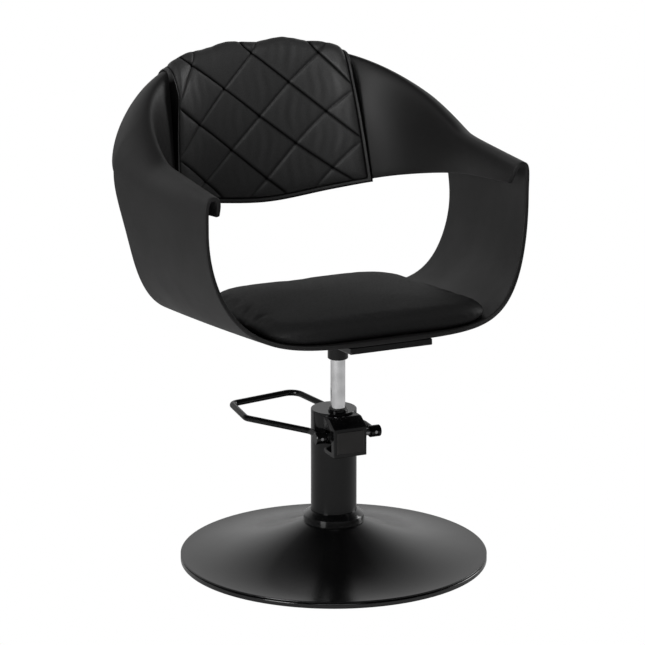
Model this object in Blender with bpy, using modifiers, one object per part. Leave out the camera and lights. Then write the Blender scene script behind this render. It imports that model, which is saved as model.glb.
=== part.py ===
"""Hydraulic styling chair for a hair salon: round floor base, foot pump and moulded seat shell.

Metres, +Z up. The origin is the centre of the base on the floor. The sitter faces -Y.
"""

from math import atan, cos, pi, radians, sin, sqrt, tan

import bmesh
import bpy
import numpy as np
from mathutils import Vector

for leftover in list(bpy.data.objects):
    bpy.data.objects.remove(leftover, do_unlink=True)

# ---------------------------------------------------------------- driving sizes
GAP = 0.0003                    # clearance kept between pieces that touch

BASE_R = 0.2925                 # floor base
PLATE_H = 0.008
RIM_W = 0.005
RIM_H = 0.009
COVER_T = 0.0016
COVER_EDGE_H = 0.004
COVER_POWER = 1.8

TUBE_R = 0.0436                 # pump's outer tube, its collar and its flange
TUBE_WALL = 0.003
COLLAR_R = TUBE_R + 0.0142
COLLAR_Z = 0.077
COLLAR_H = 0.015
COLLAR_CHAMFER_H = 0.008
FLANGE_R = 0.078
FLANGE_T = 0.008
FLANGE_BOLT_RING_R = 0.062
FLANGE_BOLT_R = 0.005
PUMP_TOP_Z = 0.3006
HEAD_CAP_T = 0.004
HEAD_PLUG_H = 0.018

ROD_R = 0.014                   # lift rod and the cylinder it slides in
ROD_SHOWN = 0.104
ROD_BOTTOM_Z = 0.135
CYLINDER_WALL = 0.0025
CYLINDER_R = ROD_R + 0.0035 + CYLINDER_WALL
ROD_Y = -(TUBE_R - TUBE_WALL - CYLINDER_R - 0.0016)
PISTON_H = 0.024
FOOT_VALVE_H = 0.012
HEAD_SOCKET_H = 0.006
GLAND_R = ROD_R + 0.0045
GLAND_H = 0.004
SEAL_H = 0.0025
RUNNING_GAP = 0.0002

PLUNGER_R = 0.0030              # small pump worked by the pedal
BARREL_R = 0.0050
BARREL_TOP_Z = 0.2240
PLUNGER_X = CYLINDER_R + BARREL_R + 0.0015
PLUNGER_Y = ROD_Y - 0.003
VALVE_STEM_R = 0.0022

BOX_W = 2 * (PLUNGER_X + 0.007)   # lever box on the front of the tube
BOX_FRONT_Y = -(TUBE_R + 0.0344)
BOX_BOTTOM_Z = 0.2256
BOX_SHOULDER_Z = 0.2826
BOX_SLOPE_Y = BOX_FRONT_Y + 0.025
BOX_WALL = 0.004
SHAFT_Y = -(TUBE_R + 0.0039)
SHAFT_Z = 0.2605
SHAFT_R = 0.007
BUSH_T = 0.0035
HUB_R = 0.0112
HUB_LEFT_X = -(TUBE_R + 0.0164)
HUB_RIGHT_X = TUBE_R + 0.0304
HUB_L = 0.022
HUB_END_WALL = 0.004
PEDAL_R = 0.006
PEDAL_TILT = 2.5
GRUB_R = 0.0030

SEAT_TILT = 5.0                 # seat, measured on the underside of the shell at the rod
SEAT_Z = 0.4780
SHELL_T = 0.008
SEAT_FRONT_Y = -0.262
SEAT_REAR_Y = 0.212
REAR_DIP = 0.022
ARM_Z = 0.7876
ARM_TIP_Y = -0.165
BACK_Y = 0.412
BACK_RISE = 0.382
RISE_START_Y = 0.090
CREST_HALF_W = 0.306
ROLL_R = 0.016

BRACKET_W = 0.166
BRACKET_FRONT = -0.243
BRACKET_REAR = 0.150
BRACKET_T = 0.003
BRACKET_LIP = 0.012
SOCKET_R = ROD_R + 0.0055
SOCKET_BOTTOM_Z = 0.4046
SOCKET_SCREW_Z = 0.4280
SOCKET_SCREW_R = 0.004
BOLT_R = 0.004
BOLT_X = 0.062
BOLT_YS = (-0.170, 0.110)
BOARD_HALF_W = 0.148
BOARD_FRONT = -0.205
BOARD_REAR = 0.150
BOARD_T = 0.009
BOARD_LIFT = SHELL_T + 0.0025

CUSHION_FRONT = -0.240
CUSHION_REAR = 0.212
CUSHION_HALF_W = CREST_HALF_W - 0.088
CUSHION_TAPER = 0.085
CUSHION_H = 0.054
CUSHION_EDGE = 0.016
CUSHION_GAP = 0.0012

PAD_TOP_HALF_W = 0.188          # at the crest
PAD_LOW_HALF_W = 0.205          # at the band's lower edge
PAD_OVER = 0.12                 # share of the lip that the padding reaches over
PAD_T = 0.014
PAD_DROP = 0.005
COVER_CLOTH_T = 0.003
COVER_GAP = 0.0012

PARTS = bpy.data.collections.new("styling_chair")
CUTTERS = bpy.data.collections.new("cutters")
bpy.context.scene.collection.children.link(PARTS)
bpy.context.scene.collection.children.link(CUTTERS)


# ---------------------------------------------------------------- materials
def material(name, colour, roughness, metallic=0.0):
    mat = bpy.data.materials.new(name)
    mat.use_nodes = True
    shader = mat.node_tree.nodes["Principled BSDF"]
    shader.inputs["Base Color"].default_value = (*colour, 1.0)
    shader.inputs["Roughness"].default_value = roughness
    shader.inputs["Metallic"].default_value = metallic
    return mat


# ---------------------------------------------------------------- building blocks
def add_object(name, mesh, finish, collection=PARTS):
    piece = bpy.data.objects.new(name, mesh)
    collection.objects.link(piece)
    if finish is not None:
        mesh.materials.append(finish)
    else:
        piece.hide_render = True
        piece.display_type = "WIRE"
    return piece


def new_mesh(name, build):
    mesh = bpy.data.meshes.new(name)
    shape = bmesh.new()
    build(shape)
    bmesh.ops.recalc_face_normals(shape, faces=shape.faces)
    shape.to_mesh(mesh)
    shape.free()
    return mesh


def smooth(mesh, angle=40.0):
    mesh.shade_smooth()
    mesh.set_sharp_from_angle(angle=radians(angle))


def turned(name, profile, finish, at=(0.0, 0.0), sides=32, collection=PARTS):
    """A closed profile of (radius, height) points turned about the vertical axis through at."""
    mesh = bpy.data.meshes.new(name)
    count = len(profile)
    points = [(r, 0.0, z) for r, z in profile]
    mesh.from_pydata(points, [(i, (i + 1) % count) for i in range(count)], [])
    piece = add_object(name, mesh, finish, collection)
    piece.location = (at[0], at[1], 0.0)
    screw = piece.modifiers.new("turn", "SCREW")
    screw.steps = sides
    screw.render_steps = sides
    screw.use_merge_vertices = True
    screw.merge_threshold = 0.00001
    return piece


def solid_turned(name, profile, finish, at=(0.0, 0.0), sides=32, collection=PARTS):
    """An open profile from the axis to the axis, top to bottom, turned into a closed solid."""
    mesh = bpy.data.meshes.new(name)
    points = [(r, 0.0, z) for r, z in profile]
    mesh.from_pydata(points, [(i, i + 1) for i in range(len(profile) - 1)], [])
    piece = add_object(name, mesh, finish, collection)
    piece.location = (at[0], at[1], 0.0)
    screw = piece.modifiers.new("turn", "SCREW")
    screw.steps = sides
    screw.render_steps = sides
    screw.use_merge_vertices = True
    screw.merge_threshold = 0.00001
    return piece


def tube_profile(outer, inner, low, high):
    return [(outer, high), (outer, low), (inner, low), (inner, high)]


def rod_profile(radius, low, high, chamfer=0.0005):
    return [
        (0.0, high),
        (radius - chamfer, high),
        (radius, high - chamfer),
        (radius, low + chamfer),
        (radius - chamfer, low),
        (0.0, low),
    ]


def cylinder(name, radius, length, finish, place, turn=(0.0, 0.0, 0.0), sides=16,
             collection=PARTS):
    """A plain round bar centred on place, its axis along Z before it is turned."""
    def build(shape):
        bmesh.ops.create_cone(shape, cap_ends=True, segments=sides, radius1=radius,
                              radius2=radius, depth=length)
    mesh = new_mesh(name, build)
    piece = add_object(name, mesh, finish, collection)
    piece.location = place
    piece.rotation_euler = turn
    return piece


def box(name, size, centre, finish, collection=PARTS):
    def build(shape):
        bmesh.ops.create_cube(shape, size=1.0)
        bmesh.ops.scale(shape, vec=size, verts=shape.verts)
        bmesh.ops.translate(shape, vec=centre, verts=shape.verts)
    return add_object(name, new_mesh(name, build), finish, collection)


def prism(name, outline, x_low, x_high, finish, collection=PARTS):
    """A flat outline in the YZ plane, drawn out along X."""
    def build(shape):
        face = shape.faces.new([shape.verts.new((x_low, y, z)) for y, z in outline])
        grown = bmesh.ops.extrude_face_region(shape, geom=[face])
        moved = [v for v in grown["geom"] if isinstance(v, bmesh.types.BMVert)]
        bmesh.ops.translate(shape, vec=(x_high - x_low, 0.0, 0.0), verts=moved)
    return add_object(name, new_mesh(name, build), finish, collection)


def boolean(piece, cutter, operation="DIFFERENCE"):
    cut = piece.modifiers.new(cutter.name, "BOOLEAN")
    cut.operation = operation
    cut.object = cutter
    return piece


def bevel(piece, width, segments=2, angle=35.0):
    edge = piece.modifiers.new("edges", "BEVEL")
    edge.width = width
    edge.segments = segments
    edge.limit_method = "ANGLE"
    edge.angle_limit = radians(angle)
    return piece


def grid_mesh(name, rows):
    """A sheet of quads over rows of points, each row an (n, 3) array of the same length."""
    points = np.concatenate(rows)
    across = len(rows[0])
    faces = []
    for j in range(len(rows) - 1):
        for i in range(across - 1):
            a = j * across + i
            faces.append((a, a + across, a + across + 1, a + 1))
    mesh = bpy.data.meshes.new(name)
    mesh.from_pydata(points.tolist(), [], faces)
    return mesh


def rounded_path(corners, radii, steps=5):
    """The corner points with each inner corner replaced by an arc of its radius."""
    path = [Vector(corners[0])]
    for before, corner, after, radius in zip(corners, corners[1:], corners[2:], radii):
        here = Vector(corner)
        back = (Vector(before) - here).normalized()
        ahead = (Vector(after) - here).normalized()
        half = back.angle(ahead) / 2.0
        reach = radius / tan(half)
        centre = here + (back + ahead).normalized() * (radius / sin(half))
        start = here + back * reach - centre
        end = here + ahead * reach - centre
        bend = start.angle(end)
        for k in range(steps + 1):
            near = sin(bend * (1 - k / steps)) / sin(bend)
            far = sin(bend * k / steps) / sin(bend)
            path.append(centre + start * near + end * far)
    path.append(Vector(corners[-1]))
    return path


# ---------------------------------------------------------------- floor base
def base_plate(iron):
    """Cast disc that weighs the chair down, with tapped holes for the pump's flange."""
    radius = BASE_R - RIM_W - GAP
    plate = solid_turned("base_plate", rod_profile(radius, 0.0, PLATE_H, 0.001), iron, sides=48)
    for index, (x, y) in enumerate(flange_bolt_places()):
        depth = 0.006
        hole = cylinder(f"plate_hole_{index + 1}", FLANGE_BOLT_R + GAP, 2 * depth, None,
                        (x, y, PLATE_H), collection=CUTTERS)
        boolean(plate, hole)


def flange_bolt_places():
    angles = [pi / 4 + k * pi / 2 for k in range(4)]
    return [(FLANGE_BOLT_RING_R * cos(a), FLANGE_BOLT_RING_R * sin(a)) for a in angles]


def base_rim(gloss):
    """Trim ring round the edge of the plate; it stands on the floor with it."""
    inner = BASE_R - RIM_W
    profile = [
        (BASE_R - 0.0015, RIM_H),
        (BASE_R, RIM_H - 0.0020),
        (BASE_R, 0.0020),
        (BASE_R - 0.0015, 0.0),
        (inner, 0.0),
        (inner, RIM_H),
    ]
    turned("base_rim", profile, gloss, sides=48)


def base_cover(satin):
    """Spun sheet cover, a hollow trumpet from the rim up to the collar."""
    edge_z = RIM_H + GAP
    top_z = edge_z + COVER_EDGE_H
    neck_z = COLLAR_Z - GAP
    neck_r = TUBE_R + 0.004
    rings = 7
    outer = []
    for k in range(rings + 1):
        r = neck_r + (BASE_R - 0.001 - neck_r) * k / rings
        share = max(0.0, (BASE_R - r) / (BASE_R - COLLAR_R))
        rise = min(1.0, share ** COVER_POWER)
        outer.append((r, top_z + (neck_z - top_z) * rise))
    outer.append((BASE_R, top_z - 0.0015))
    outer.append((BASE_R, edge_z))
    inner = [(BASE_R - COVER_T, edge_z), (BASE_R - COVER_T, top_z - 0.0025)]
    inner += [(r - 0.0006, z - COVER_T) for r, z in reversed(outer[:-3])]
    inner[-1] = (neck_r, outer[0][1] - COVER_T)
    turned("base_cover", outer + inner, satin, sides=48)


def base_collar(gloss):
    """Ring that clamps the cover's neck to the pump's tube."""
    inner = TUBE_R + GAP
    top = COLLAR_Z + COLLAR_H
    profile = [
        (inner, top + COLLAR_CHAMFER_H),
        (inner + 0.0015, top + COLLAR_CHAMFER_H),
        (COLLAR_R - 0.0015, top + 0.0006),
        (COLLAR_R, top - 0.0010),
        (COLLAR_R, COLLAR_Z + 0.0010),
        (COLLAR_R - 0.0010, COLLAR_Z),
        (inner, COLLAR_Z),
    ]
    collar = turned("base_collar", profile, gloss, sides=40)
    bore = cylinder("collar_screw_bore", GRUB_R + GAP, 0.030, None,
                    (0.0, COLLAR_R, COLLAR_Z + COLLAR_H / 2), (pi / 2, 0.0, 0.0),
                    collection=CUTTERS)
    boolean(collar, bore)


def collar_screw(steel):
    """Grub screw at the back of the collar, tightened on the tube."""
    low = TUBE_R + 2 * GAP
    high = COLLAR_R - 0.001
    cylinder("collar_screw", GRUB_R, high - low, steel,
             (0.0, (low + high) / 2, COLLAR_Z + COLLAR_H / 2), (pi / 2, 0.0, 0.0), sides=12)


# ---------------------------------------------------------------- pump
def tube_foot_z():
    return PLATE_H + GAP + FLANGE_T


def pump_flange(gloss):
    low = PLATE_H + GAP
    flange = solid_turned("pump_flange", rod_profile(FLANGE_R, low, low + FLANGE_T), gloss)
    for index, (x, y) in enumerate(flange_bolt_places()):
        hole = cylinder(f"flange_hole_{index + 1}", FLANGE_BOLT_R + GAP, 4 * FLANGE_T, None,
                        (x, y, low), collection=CUTTERS)
        boolean(flange, hole)


def flange_bolts(steel):
    seat = tube_foot_z() + GAP
    tip = PLATE_H - 0.005
    head_h = 0.006
    for index, (x, y) in enumerate(flange_bolt_places()):
        profile = [
            (0.0, seat + head_h),
            (1.7 * FLANGE_BOLT_R, seat + head_h),
            (1.7 * FLANGE_BOLT_R, seat),
            (FLANGE_BOLT_R, seat),
            (FLANGE_BOLT_R, tip),
            (0.0, tip),
        ]
        solid_turned(f"flange_bolt_{index + 1}", profile, steel, (x, y), sides=12)


def pump_tube(gloss):
    """Outer tube, which is also the oil tank, with a window behind the lever box."""
    low = tube_foot_z() + GAP
    high = PUMP_TOP_Z - HEAD_CAP_T - GAP
    tube = turned("pump_tube", tube_profile(TUBE_R, TUBE_R - TUBE_WALL, low, high), gloss)
    window_z = (SHAFT_Z - 0.018, SHAFT_Z + 0.014)
    window = box("tube_window", (BOX_W - 2 * BOX_WALL + 0.002, 0.040, window_z[1] - window_z[0]),
                 (0.0, -TUBE_R, sum(window_z) / 2), None, CUTTERS)
    boolean(tube, window)


def cylinder_head(gloss):
    """Plug in the top of the tube, bored for the rod and shouldered for the inner cylinder."""
    plug_r = TUBE_R - TUBE_WALL - GAP
    cap_low = PUMP_TOP_Z - HEAD_CAP_T
    profile = [
        (0.0, PUMP_TOP_Z),
        (TUBE_R - 0.0008, PUMP_TOP_Z),
        (TUBE_R, PUMP_TOP_Z - 0.0008),
        (TUBE_R, cap_low),
        (plug_r, cap_low),
        (plug_r, PUMP_TOP_Z - HEAD_PLUG_H),
        (0.0, PUMP_TOP_Z - HEAD_PLUG_H),
    ]
    head = solid_turned("cylinder_head", profile, gloss)
    bore = cylinder("head_bore", ROD_R + RUNNING_GAP + 0.0002, 0.1, None,
                    (0.0, ROD_Y, PUMP_TOP_Z), sides=32, collection=CUTTERS)
    boolean(head, bore)
    seat_top = PUMP_TOP_Z - HEAD_PLUG_H + HEAD_SOCKET_H
    counterbore = cylinder("head_counterbore", CYLINDER_R + GAP, 0.1, None,
                           (0.0, ROD_Y, seat_top - 0.05), sides=32, collection=CUTTERS)
    boolean(head, counterbore)


def inner_cylinder(steel):
    low = tube_foot_z() + FOOT_VALVE_H
    high = PUMP_TOP_Z - HEAD_PLUG_H + HEAD_SOCKET_H - GAP
    turned("inner_cylinder", tube_profile(CYLINDER_R, CYLINDER_R - CYLINDER_WALL, low, high),
           steel, (0.0, ROD_Y), sides=32)


def foot_valve(brass):
    """Stepped plug that closes the foot of the inner cylinder."""
    low = tube_foot_z() + GAP
    step = tube_foot_z() + FOOT_VALVE_H - GAP
    spigot_h = 0.010
    bore_r = CYLINDER_R - CYLINDER_WALL - GAP
    profile = [
        (0.0, step + spigot_h),
        (bore_r, step + spigot_h),
        (bore_r, step),
        (CYLINDER_R, step),
        (CYLINDER_R, low),
        (0.0, low),
    ]
    solid_turned("foot_valve", profile, brass, (0.0, ROD_Y), sides=32)


def gland_and_seal(gloss, rubber):
    """Raised ring round the rod, and the wiper seal that lies on it."""
    low = PUMP_TOP_Z + GAP
    inner = ROD_R + RUNNING_GAP + 0.0001
    high = low + GLAND_H
    ring = [(GLAND_R - 0.001, high), (GLAND_R, high - 0.001), (GLAND_R, low), (inner, low),
            (inner, high)]
    turned("rod_gland", ring, gloss, (0.0, ROD_Y))
    lip_low = high + GAP
    lip = [(inner + 0.0012, lip_low + SEAL_H), (inner + 0.0026, lip_low), (inner, lip_low),
           (inner, lip_low + SEAL_H)]
    turned("wiper_seal", lip, rubber, (0.0, ROD_Y))


def rod_top_z():
    return PUMP_TOP_Z + ROD_SHOWN + 0.050


def piston_rod(chrome):
    solid_turned("piston_rod", rod_profile(ROD_R, ROD_BOTTOM_Z, rod_top_z(), 0.001), chrome,
                 (0.0, ROD_Y))


def piston_and_ring(steel, rubber):
    """Piston under the rod, with the ring that seals it in a groove."""
    high = ROD_BOTTOM_Z - GAP
    low = high - PISTON_H
    bore_r = CYLINDER_R - CYLINDER_WALL
    body_r = bore_r - RUNNING_GAP - 0.0001
    groove_r = body_r - 0.0020
    groove_z = (low + 0.008, low + 0.013)
    profile = [
        (0.0, high),
        (body_r, high),
        (body_r, groove_z[1]),
        (groove_r, groove_z[1]),
        (groove_r, groove_z[0]),
        (body_r, groove_z[0]),
        (body_r, low),
        (0.0, low),
    ]
    solid_turned("piston", profile, steel, (0.0, ROD_Y), sides=32)
    ring = tube_profile(bore_r - RUNNING_GAP, groove_r + GAP, groove_z[0] + GAP,
                        groove_z[1] - GAP)
    turned("piston_ring", ring, rubber, (0.0, ROD_Y), sides=32)


# ---------------------------------------------------------------- lever box and pedal
def box_outline(inset, rear_y):
    """Side outline of the lever box: flat front, sloped shoulder and level top."""
    drop = inset * tan((pi / 2 - shoulder_angle()) / 2)
    return [
        (rear_y, BOX_BOTTOM_Z + inset),
        (BOX_FRONT_Y + inset, BOX_BOTTOM_Z + inset),
        (BOX_FRONT_Y + inset, BOX_SHOULDER_Z - drop),
        (BOX_SLOPE_Y + inset * tan(shoulder_angle() / 2), PUMP_TOP_Z - HEAD_CAP_T - inset),
        (rear_y, PUMP_TOP_Z - HEAD_CAP_T - inset),
    ]


def shoulder_angle():
    return atan((PUMP_TOP_Z - HEAD_CAP_T - BOX_SHOULDER_Z) / (BOX_SLOPE_Y - BOX_FRONT_Y))


def lever_box(gloss):
    """Cast box welded to the front of the tube; the shaft crosses it from side to side."""
    half = BOX_W / 2
    body = prism("lever_box", box_outline(0.0, -0.020), -half, half, gloss)
    bevel(body, 0.0012)
    hollow = prism("box_hollow", box_outline(BOX_WALL, -0.010), -half + BOX_WALL,
                   half - BOX_WALL, None, CUTTERS)
    boolean(body, hollow)
    tube_side = cylinder("box_tube_side", TUBE_R + GAP, 0.3, None, (0.0, 0.0, SHAFT_Z),
                         sides=32, collection=CUTTERS)
    boolean(body, tube_side)
    shaft_bore = cylinder("box_shaft_bore", SHAFT_R + BUSH_T, half + 0.02, None,
                          (half, SHAFT_Y, SHAFT_Z), (0.0, pi / 2, 0.0), collection=CUTTERS)
    boolean(body, shaft_bore)
    slot_low = BOX_BOTTOM_Z + 0.008
    slot_high = SHAFT_Z + 0.013
    slot_front = BOX_FRONT_Y + 0.013
    slot = box("box_side_slot", (0.02, 0.060, slot_high - slot_low),
               (-half, slot_front + 0.030, (slot_low + slot_high) / 2), None, CUTTERS)
    boolean(body, slot)


def box_cover(dark):
    """Thin plate on the front of the box."""
    thick = 0.0015
    plate = box("box_cover", (BOX_W - 0.012, thick, BOX_SHOULDER_Z - BOX_BOTTOM_Z - 0.014),
                (0.0, BOX_FRONT_Y - GAP - thick / 2, (BOX_SHOULDER_Z + BOX_BOTTOM_Z) / 2), dark)
    bevel(plate, 0.0006, 1)


def shaft_ends():
    return HUB_LEFT_X + HUB_END_WALL, HUB_RIGHT_X - HUB_END_WALL


def pedal_shaft(steel):
    low, high = shaft_ends()
    shaft = cylinder("pedal_shaft", SHAFT_R, high - low, steel,
                     ((low + high) / 2, SHAFT_Y, SHAFT_Z), (0.0, pi / 2, 0.0))
    bevel(shaft, 0.0008, 1, 60.0)


def shaft_bush(name, x_low, x_high, outer, bronze):
    """Plain bearing ring round the shaft, along X."""
    def build(shape):
        bmesh.ops.create_cone(shape, cap_ends=True, segments=24, radius1=outer, radius2=outer,
                              depth=x_high - x_low)
    bush = add_object(name, new_mesh(name, build), bronze)
    bush.location = ((x_low + x_high) / 2, SHAFT_Y, SHAFT_Z)
    bush.rotation_euler = (0.0, pi / 2, 0.0)
    bore = cylinder(f"{name}_bore", SHAFT_R + GAP, 0.1, None, bush.location,
                    (0.0, pi / 2, 0.0), sides=32, collection=CUTTERS)
    boolean(bush, bore)


def pedal_hub(name, centre_x, gloss):
    """Boss on the end of the shaft, cross drilled for the pedal's bar and a grub screw."""
    hub = cylinder(name, HUB_R, HUB_L, gloss, (centre_x, SHAFT_Y, SHAFT_Z),
                   (0.0, pi / 2, 0.0), sides=24)
    bevel(hub, 0.0012, 1, 60.0)
    end = 1.0 if centre_x > 0 else -1.0
    floor = centre_x + end * (HUB_L / 2 - HUB_END_WALL + GAP)
    bore_l = 2 * HUB_L
    shaft_bore = cylinder(f"{name}_bore", SHAFT_R + GAP, bore_l, None,
                          (floor - end * bore_l / 2, SHAFT_Y, SHAFT_Z), (0.0, pi / 2, 0.0),
                          sides=32, collection=CUTTERS)
    boolean(hub, shaft_bore)
    tilt = radians(PEDAL_TILT)
    bar_reach = 0.030
    bar_bore = cylinder(f"{name}_bar_bore", PEDAL_R + GAP, bar_reach, None,
                        (centre_x, SHAFT_Y + cos(tilt) * bar_reach / 2,
                         SHAFT_Z + sin(tilt) * bar_reach / 2), (pi / 2 + tilt, 0.0, 0.0),
                        sides=32, collection=CUTTERS)
    boolean(hub, bar_bore)
    screw_bore = cylinder(f"{name}_screw_bore", GRUB_R + GAP, 0.020, None,
                          (centre_x, SHAFT_Y - 0.010, SHAFT_Z), (pi / 2, 0.0, 0.0),
                          collection=CUTTERS)
    boolean(hub, screw_bore)


def hub_screw(name, centre_x, steel):
    depth = HUB_R - SHAFT_R - 0.0012
    cylinder(name, GRUB_R, depth, steel,
             (centre_x, SHAFT_Y - SHAFT_R - GAP - depth / 2, SHAFT_Z), (pi / 2, 0.0, 0.0),
             sides=12)


def pedal_bar_corners():
    """Plan of the foot bar: X across the chair, and distance back from the shaft."""
    stub = SHAFT_R + GAP
    left = HUB_LEFT_X + HUB_L / 2
    right = HUB_RIGHT_X - HUB_L / 2
    return [(left, stub), (left - 0.002, 0.042), (-0.136, 0.153), (-0.131, 0.237),
            (0.012, 0.260), (right - 0.001, 0.042), (right, stub)]


def foot_pedal(gloss):
    """Round bar bent to a lopsided loop behind the column, its ends held in the two hubs."""
    tilt = radians(PEDAL_TILT)
    corners = [(x, SHAFT_Y + back * cos(tilt), SHAFT_Z + back * sin(tilt))
               for x, back in pedal_bar_corners()]
    path = rounded_path(corners, (0.022, 0.016, 0.014, 0.024, 0.030))
    curve = bpy.data.curves.new("foot_pedal", "CURVE")
    curve.dimensions = "3D"
    curve.bevel_depth = PEDAL_R
    curve.bevel_resolution = 2
    curve.use_fill_caps = True
    spline = curve.splines.new("POLY")
    spline.points.add(len(path) - 1)
    for point, place in zip(spline.points, path):
        point.co = (*place, 1.0)
    pedal = bpy.data.objects.new("foot_pedal", curve)
    curve.materials.append(gloss)
    PARTS.objects.link(pedal)


def finger_top():
    return SHAFT_Z - 0.004


def pump_finger(steel):
    """Cam on the shaft: its finger reaches into the tube and pushes the plunger down."""
    width = 0.0045
    finger = cylinder("pump_finger", SHAFT_R + 0.004, width, steel,
                      (PLUNGER_X, SHAFT_Y, SHAFT_Z), (0.0, pi / 2, 0.0), sides=24)
    reach = PLUNGER_Y - SHAFT_Y + 0.002
    tongue = box("finger_tongue", (width, reach, 0.006),
                 (PLUNGER_X, SHAFT_Y + reach / 2, SHAFT_Z - 0.001), None, CUTTERS)
    boolean(finger, tongue, "UNION")
    bore = cylinder("finger_bore", SHAFT_R + GAP, 0.05, None, (PLUNGER_X, SHAFT_Y, SHAFT_Z),
                    (0.0, pi / 2, 0.0), sides=32, collection=CUTTERS)
    boolean(finger, bore)


def plunger_head_z():
    return finger_top() - 0.0004


def plunger_set(steel, brass, spring_steel):
    """Plunger in its barrel, and the spring that lifts it after each stroke."""
    at = (PLUNGER_X, PLUNGER_Y)
    head_h = 0.003
    high = plunger_head_z()
    profile = [
        (0.0, high),
        (BARREL_R - 0.0003, high),
        (BARREL_R - 0.0003, high - head_h),
        (PLUNGER_R, high - head_h),
        (PLUNGER_R, BARREL_TOP_Z - 0.030),
        (0.0, BARREL_TOP_Z - 0.030),
    ]
    solid_turned("pump_plunger", profile, steel, at, sides=16)
    foot = tube_foot_z() + GAP
    bore_floor = BARREL_TOP_Z - 0.046
    barrel = [
        (0.0, bore_floor),
        (PLUNGER_R + GAP, bore_floor),
        (PLUNGER_R + GAP, BARREL_TOP_Z),
        (BARREL_R, BARREL_TOP_Z),
        (BARREL_R, foot),
        (0.0, foot),
    ]
    solid_turned("pump_barrel", barrel, brass, at, sides=16)
    coil_low = BARREL_TOP_Z + 0.0012
    coil_high = high - head_h - 0.0010
    wire_r = 0.0005
    coil_r = PLUNGER_R + wire_r + 0.0006
    turns = 5
    per_turn = 8
    curve = bpy.data.curves.new("plunger_spring", "CURVE")
    curve.dimensions = "3D"
    curve.bevel_depth = wire_r
    curve.bevel_resolution = 2
    curve.use_fill_caps = True
    spline = curve.splines.new("POLY")
    spline.points.add(turns * per_turn)
    for k, point in enumerate(spline.points):
        turn = 2 * pi * k / per_turn
        z = coil_low + (coil_high - coil_low) * k / (turns * per_turn)
        point.co = (at[0] + coil_r * cos(turn), at[1] + coil_r * sin(turn), z, 1.0)
    spring = bpy.data.objects.new("plunger_spring", curve)
    curve.materials.append(spring_steel)
    PARTS.objects.link(spring)


def release_valve(brass):
    """Valve stem beside the plunger that lets the oil back when it is pressed."""
    at = (-PLUNGER_X, PLUNGER_Y)
    foot = tube_foot_z() + GAP
    high = SHAFT_Z - 0.024
    profile = [
        (0.0, high),
        (VALVE_STEM_R, high),
        (VALVE_STEM_R, BARREL_TOP_Z),
        (BARREL_R, BARREL_TOP_Z),
        (BARREL_R, foot),
        (0.0, foot),
    ]
    solid_turned("release_valve", profile, brass, at, sides=16)


# ---------------------------------------------------------------- seat shell surface
def seat_plane_z(y):
    """Height of the shell's underside on the centre line."""
    return SEAT_Z + (ROD_Y - y) * tan(radians(SEAT_TILT))


def eased(stations, s):
    """Smooth curve through (place, value) stations; level at the last of them."""
    places = np.array([p for p, _ in stations])
    values = np.array([v for _, v in stations])
    slopes = np.gradient(values, places)
    slopes[-1] = 0.0
    k = np.clip(np.searchsorted(places, s, side="right") - 1, 0, len(places) - 2)
    span = places[k + 1] - places[k]
    t = (s - places[k]) / span
    a = 2 * t ** 3 - 3 * t ** 2 + 1
    b = t ** 3 - 2 * t ** 2 + t
    c = -2 * t ** 3 + 3 * t ** 2
    d = t ** 3 - t ** 2
    return a * values[k] + b * span * slopes[k] + c * values[k + 1] + d * span * slopes[k + 1]


def wrap_plan(s, tip, half_w, bend_y, back_y, power):
    """Plan of one arm and half the back, s from 0 at the arm's tip to 1 at the centre.

    A straight arm runs back to bend_y, then a superellipse quarter closes to the centre line.
    Points are spread evenly along the length.
    """
    turn = np.linspace(0.0, pi / 2, 400)
    round_x = half_w * np.cos(turn) ** (2.0 / power)
    round_y = bend_y + (back_y - bend_y) * np.sin(turn) ** (2.0 / power)
    x = np.concatenate([[tip[0]], round_x])
    y = np.concatenate([[tip[1]], round_y])
    along = np.concatenate([[0.0], np.cumsum(np.hypot(np.diff(x), np.diff(y)))])
    reach = along[-1] * s
    return np.interp(reach, along, x), np.interp(reach, along, y)


BEND_Y = 0.040
PANEL_END = 0.51                # share of the crest's length that has a side panel below it
CREST_TIP = (CREST_HALF_W + 0.007, ARM_TIP_Y)
BAND_TIP = (CREST_HALF_W - 0.014, ARM_TIP_Y + 0.021)
CREST_POWER = 2.5
BAND_POWER = 2.75
BAND_HALF_W = CREST_HALF_W - 0.007
BAND_BACK_Y = BACK_Y - 0.096
BAND_Z = ((0.0, 0.745), (0.30, 0.713), (0.60, 0.672), (0.80, 0.647), (1.0, 0.633))
LIP_OUT = ((0.0, 0.015), (0.30, 0.040), (0.51, 0.067), (0.60, 0.067), (0.70, 0.056),
           (0.80, 0.043), (1.0, 0.028))
LIP_DROP = ((0.0, 0.068), (0.51, 0.096), (0.60, 0.094), (0.70, 0.066), (0.80, 0.040),
            (1.0, 0.024))
PANEL_FRONT_HALF_W = CREST_HALF_W + 0.022
PANEL_POWER = (5.5, 7.4)
PANEL_SWEEP = 0.101             # how far the front edge runs forward from arm to seat


def crest(s):
    """Top line of arms and back."""
    x, y = wrap_plan(s, CREST_TIP, CREST_HALF_W, BEND_Y, BACK_Y, CREST_POWER)
    past = y - RISE_START_Y
    z = ARM_Z + BACK_RISE * (past + np.sqrt(past ** 2 + 0.020 ** 2)) / 2
    return np.stack([x, y, z], axis=-1)


def outward(s):
    """Level direction square to the crest, away from the sitter."""
    step = 0.004
    ahead = crest(np.minimum(s + step, 1.0))
    behind = crest(np.maximum(s - step, 0.0))
    run = ahead - behind
    side = np.stack([run[..., 1], -run[..., 0], 0 * run[..., 0]], axis=-1)
    side[s >= 1.0] = (0.0, 1.0, 0.0)
    return side / np.linalg.norm(side, axis=-1, keepdims=True)


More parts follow.
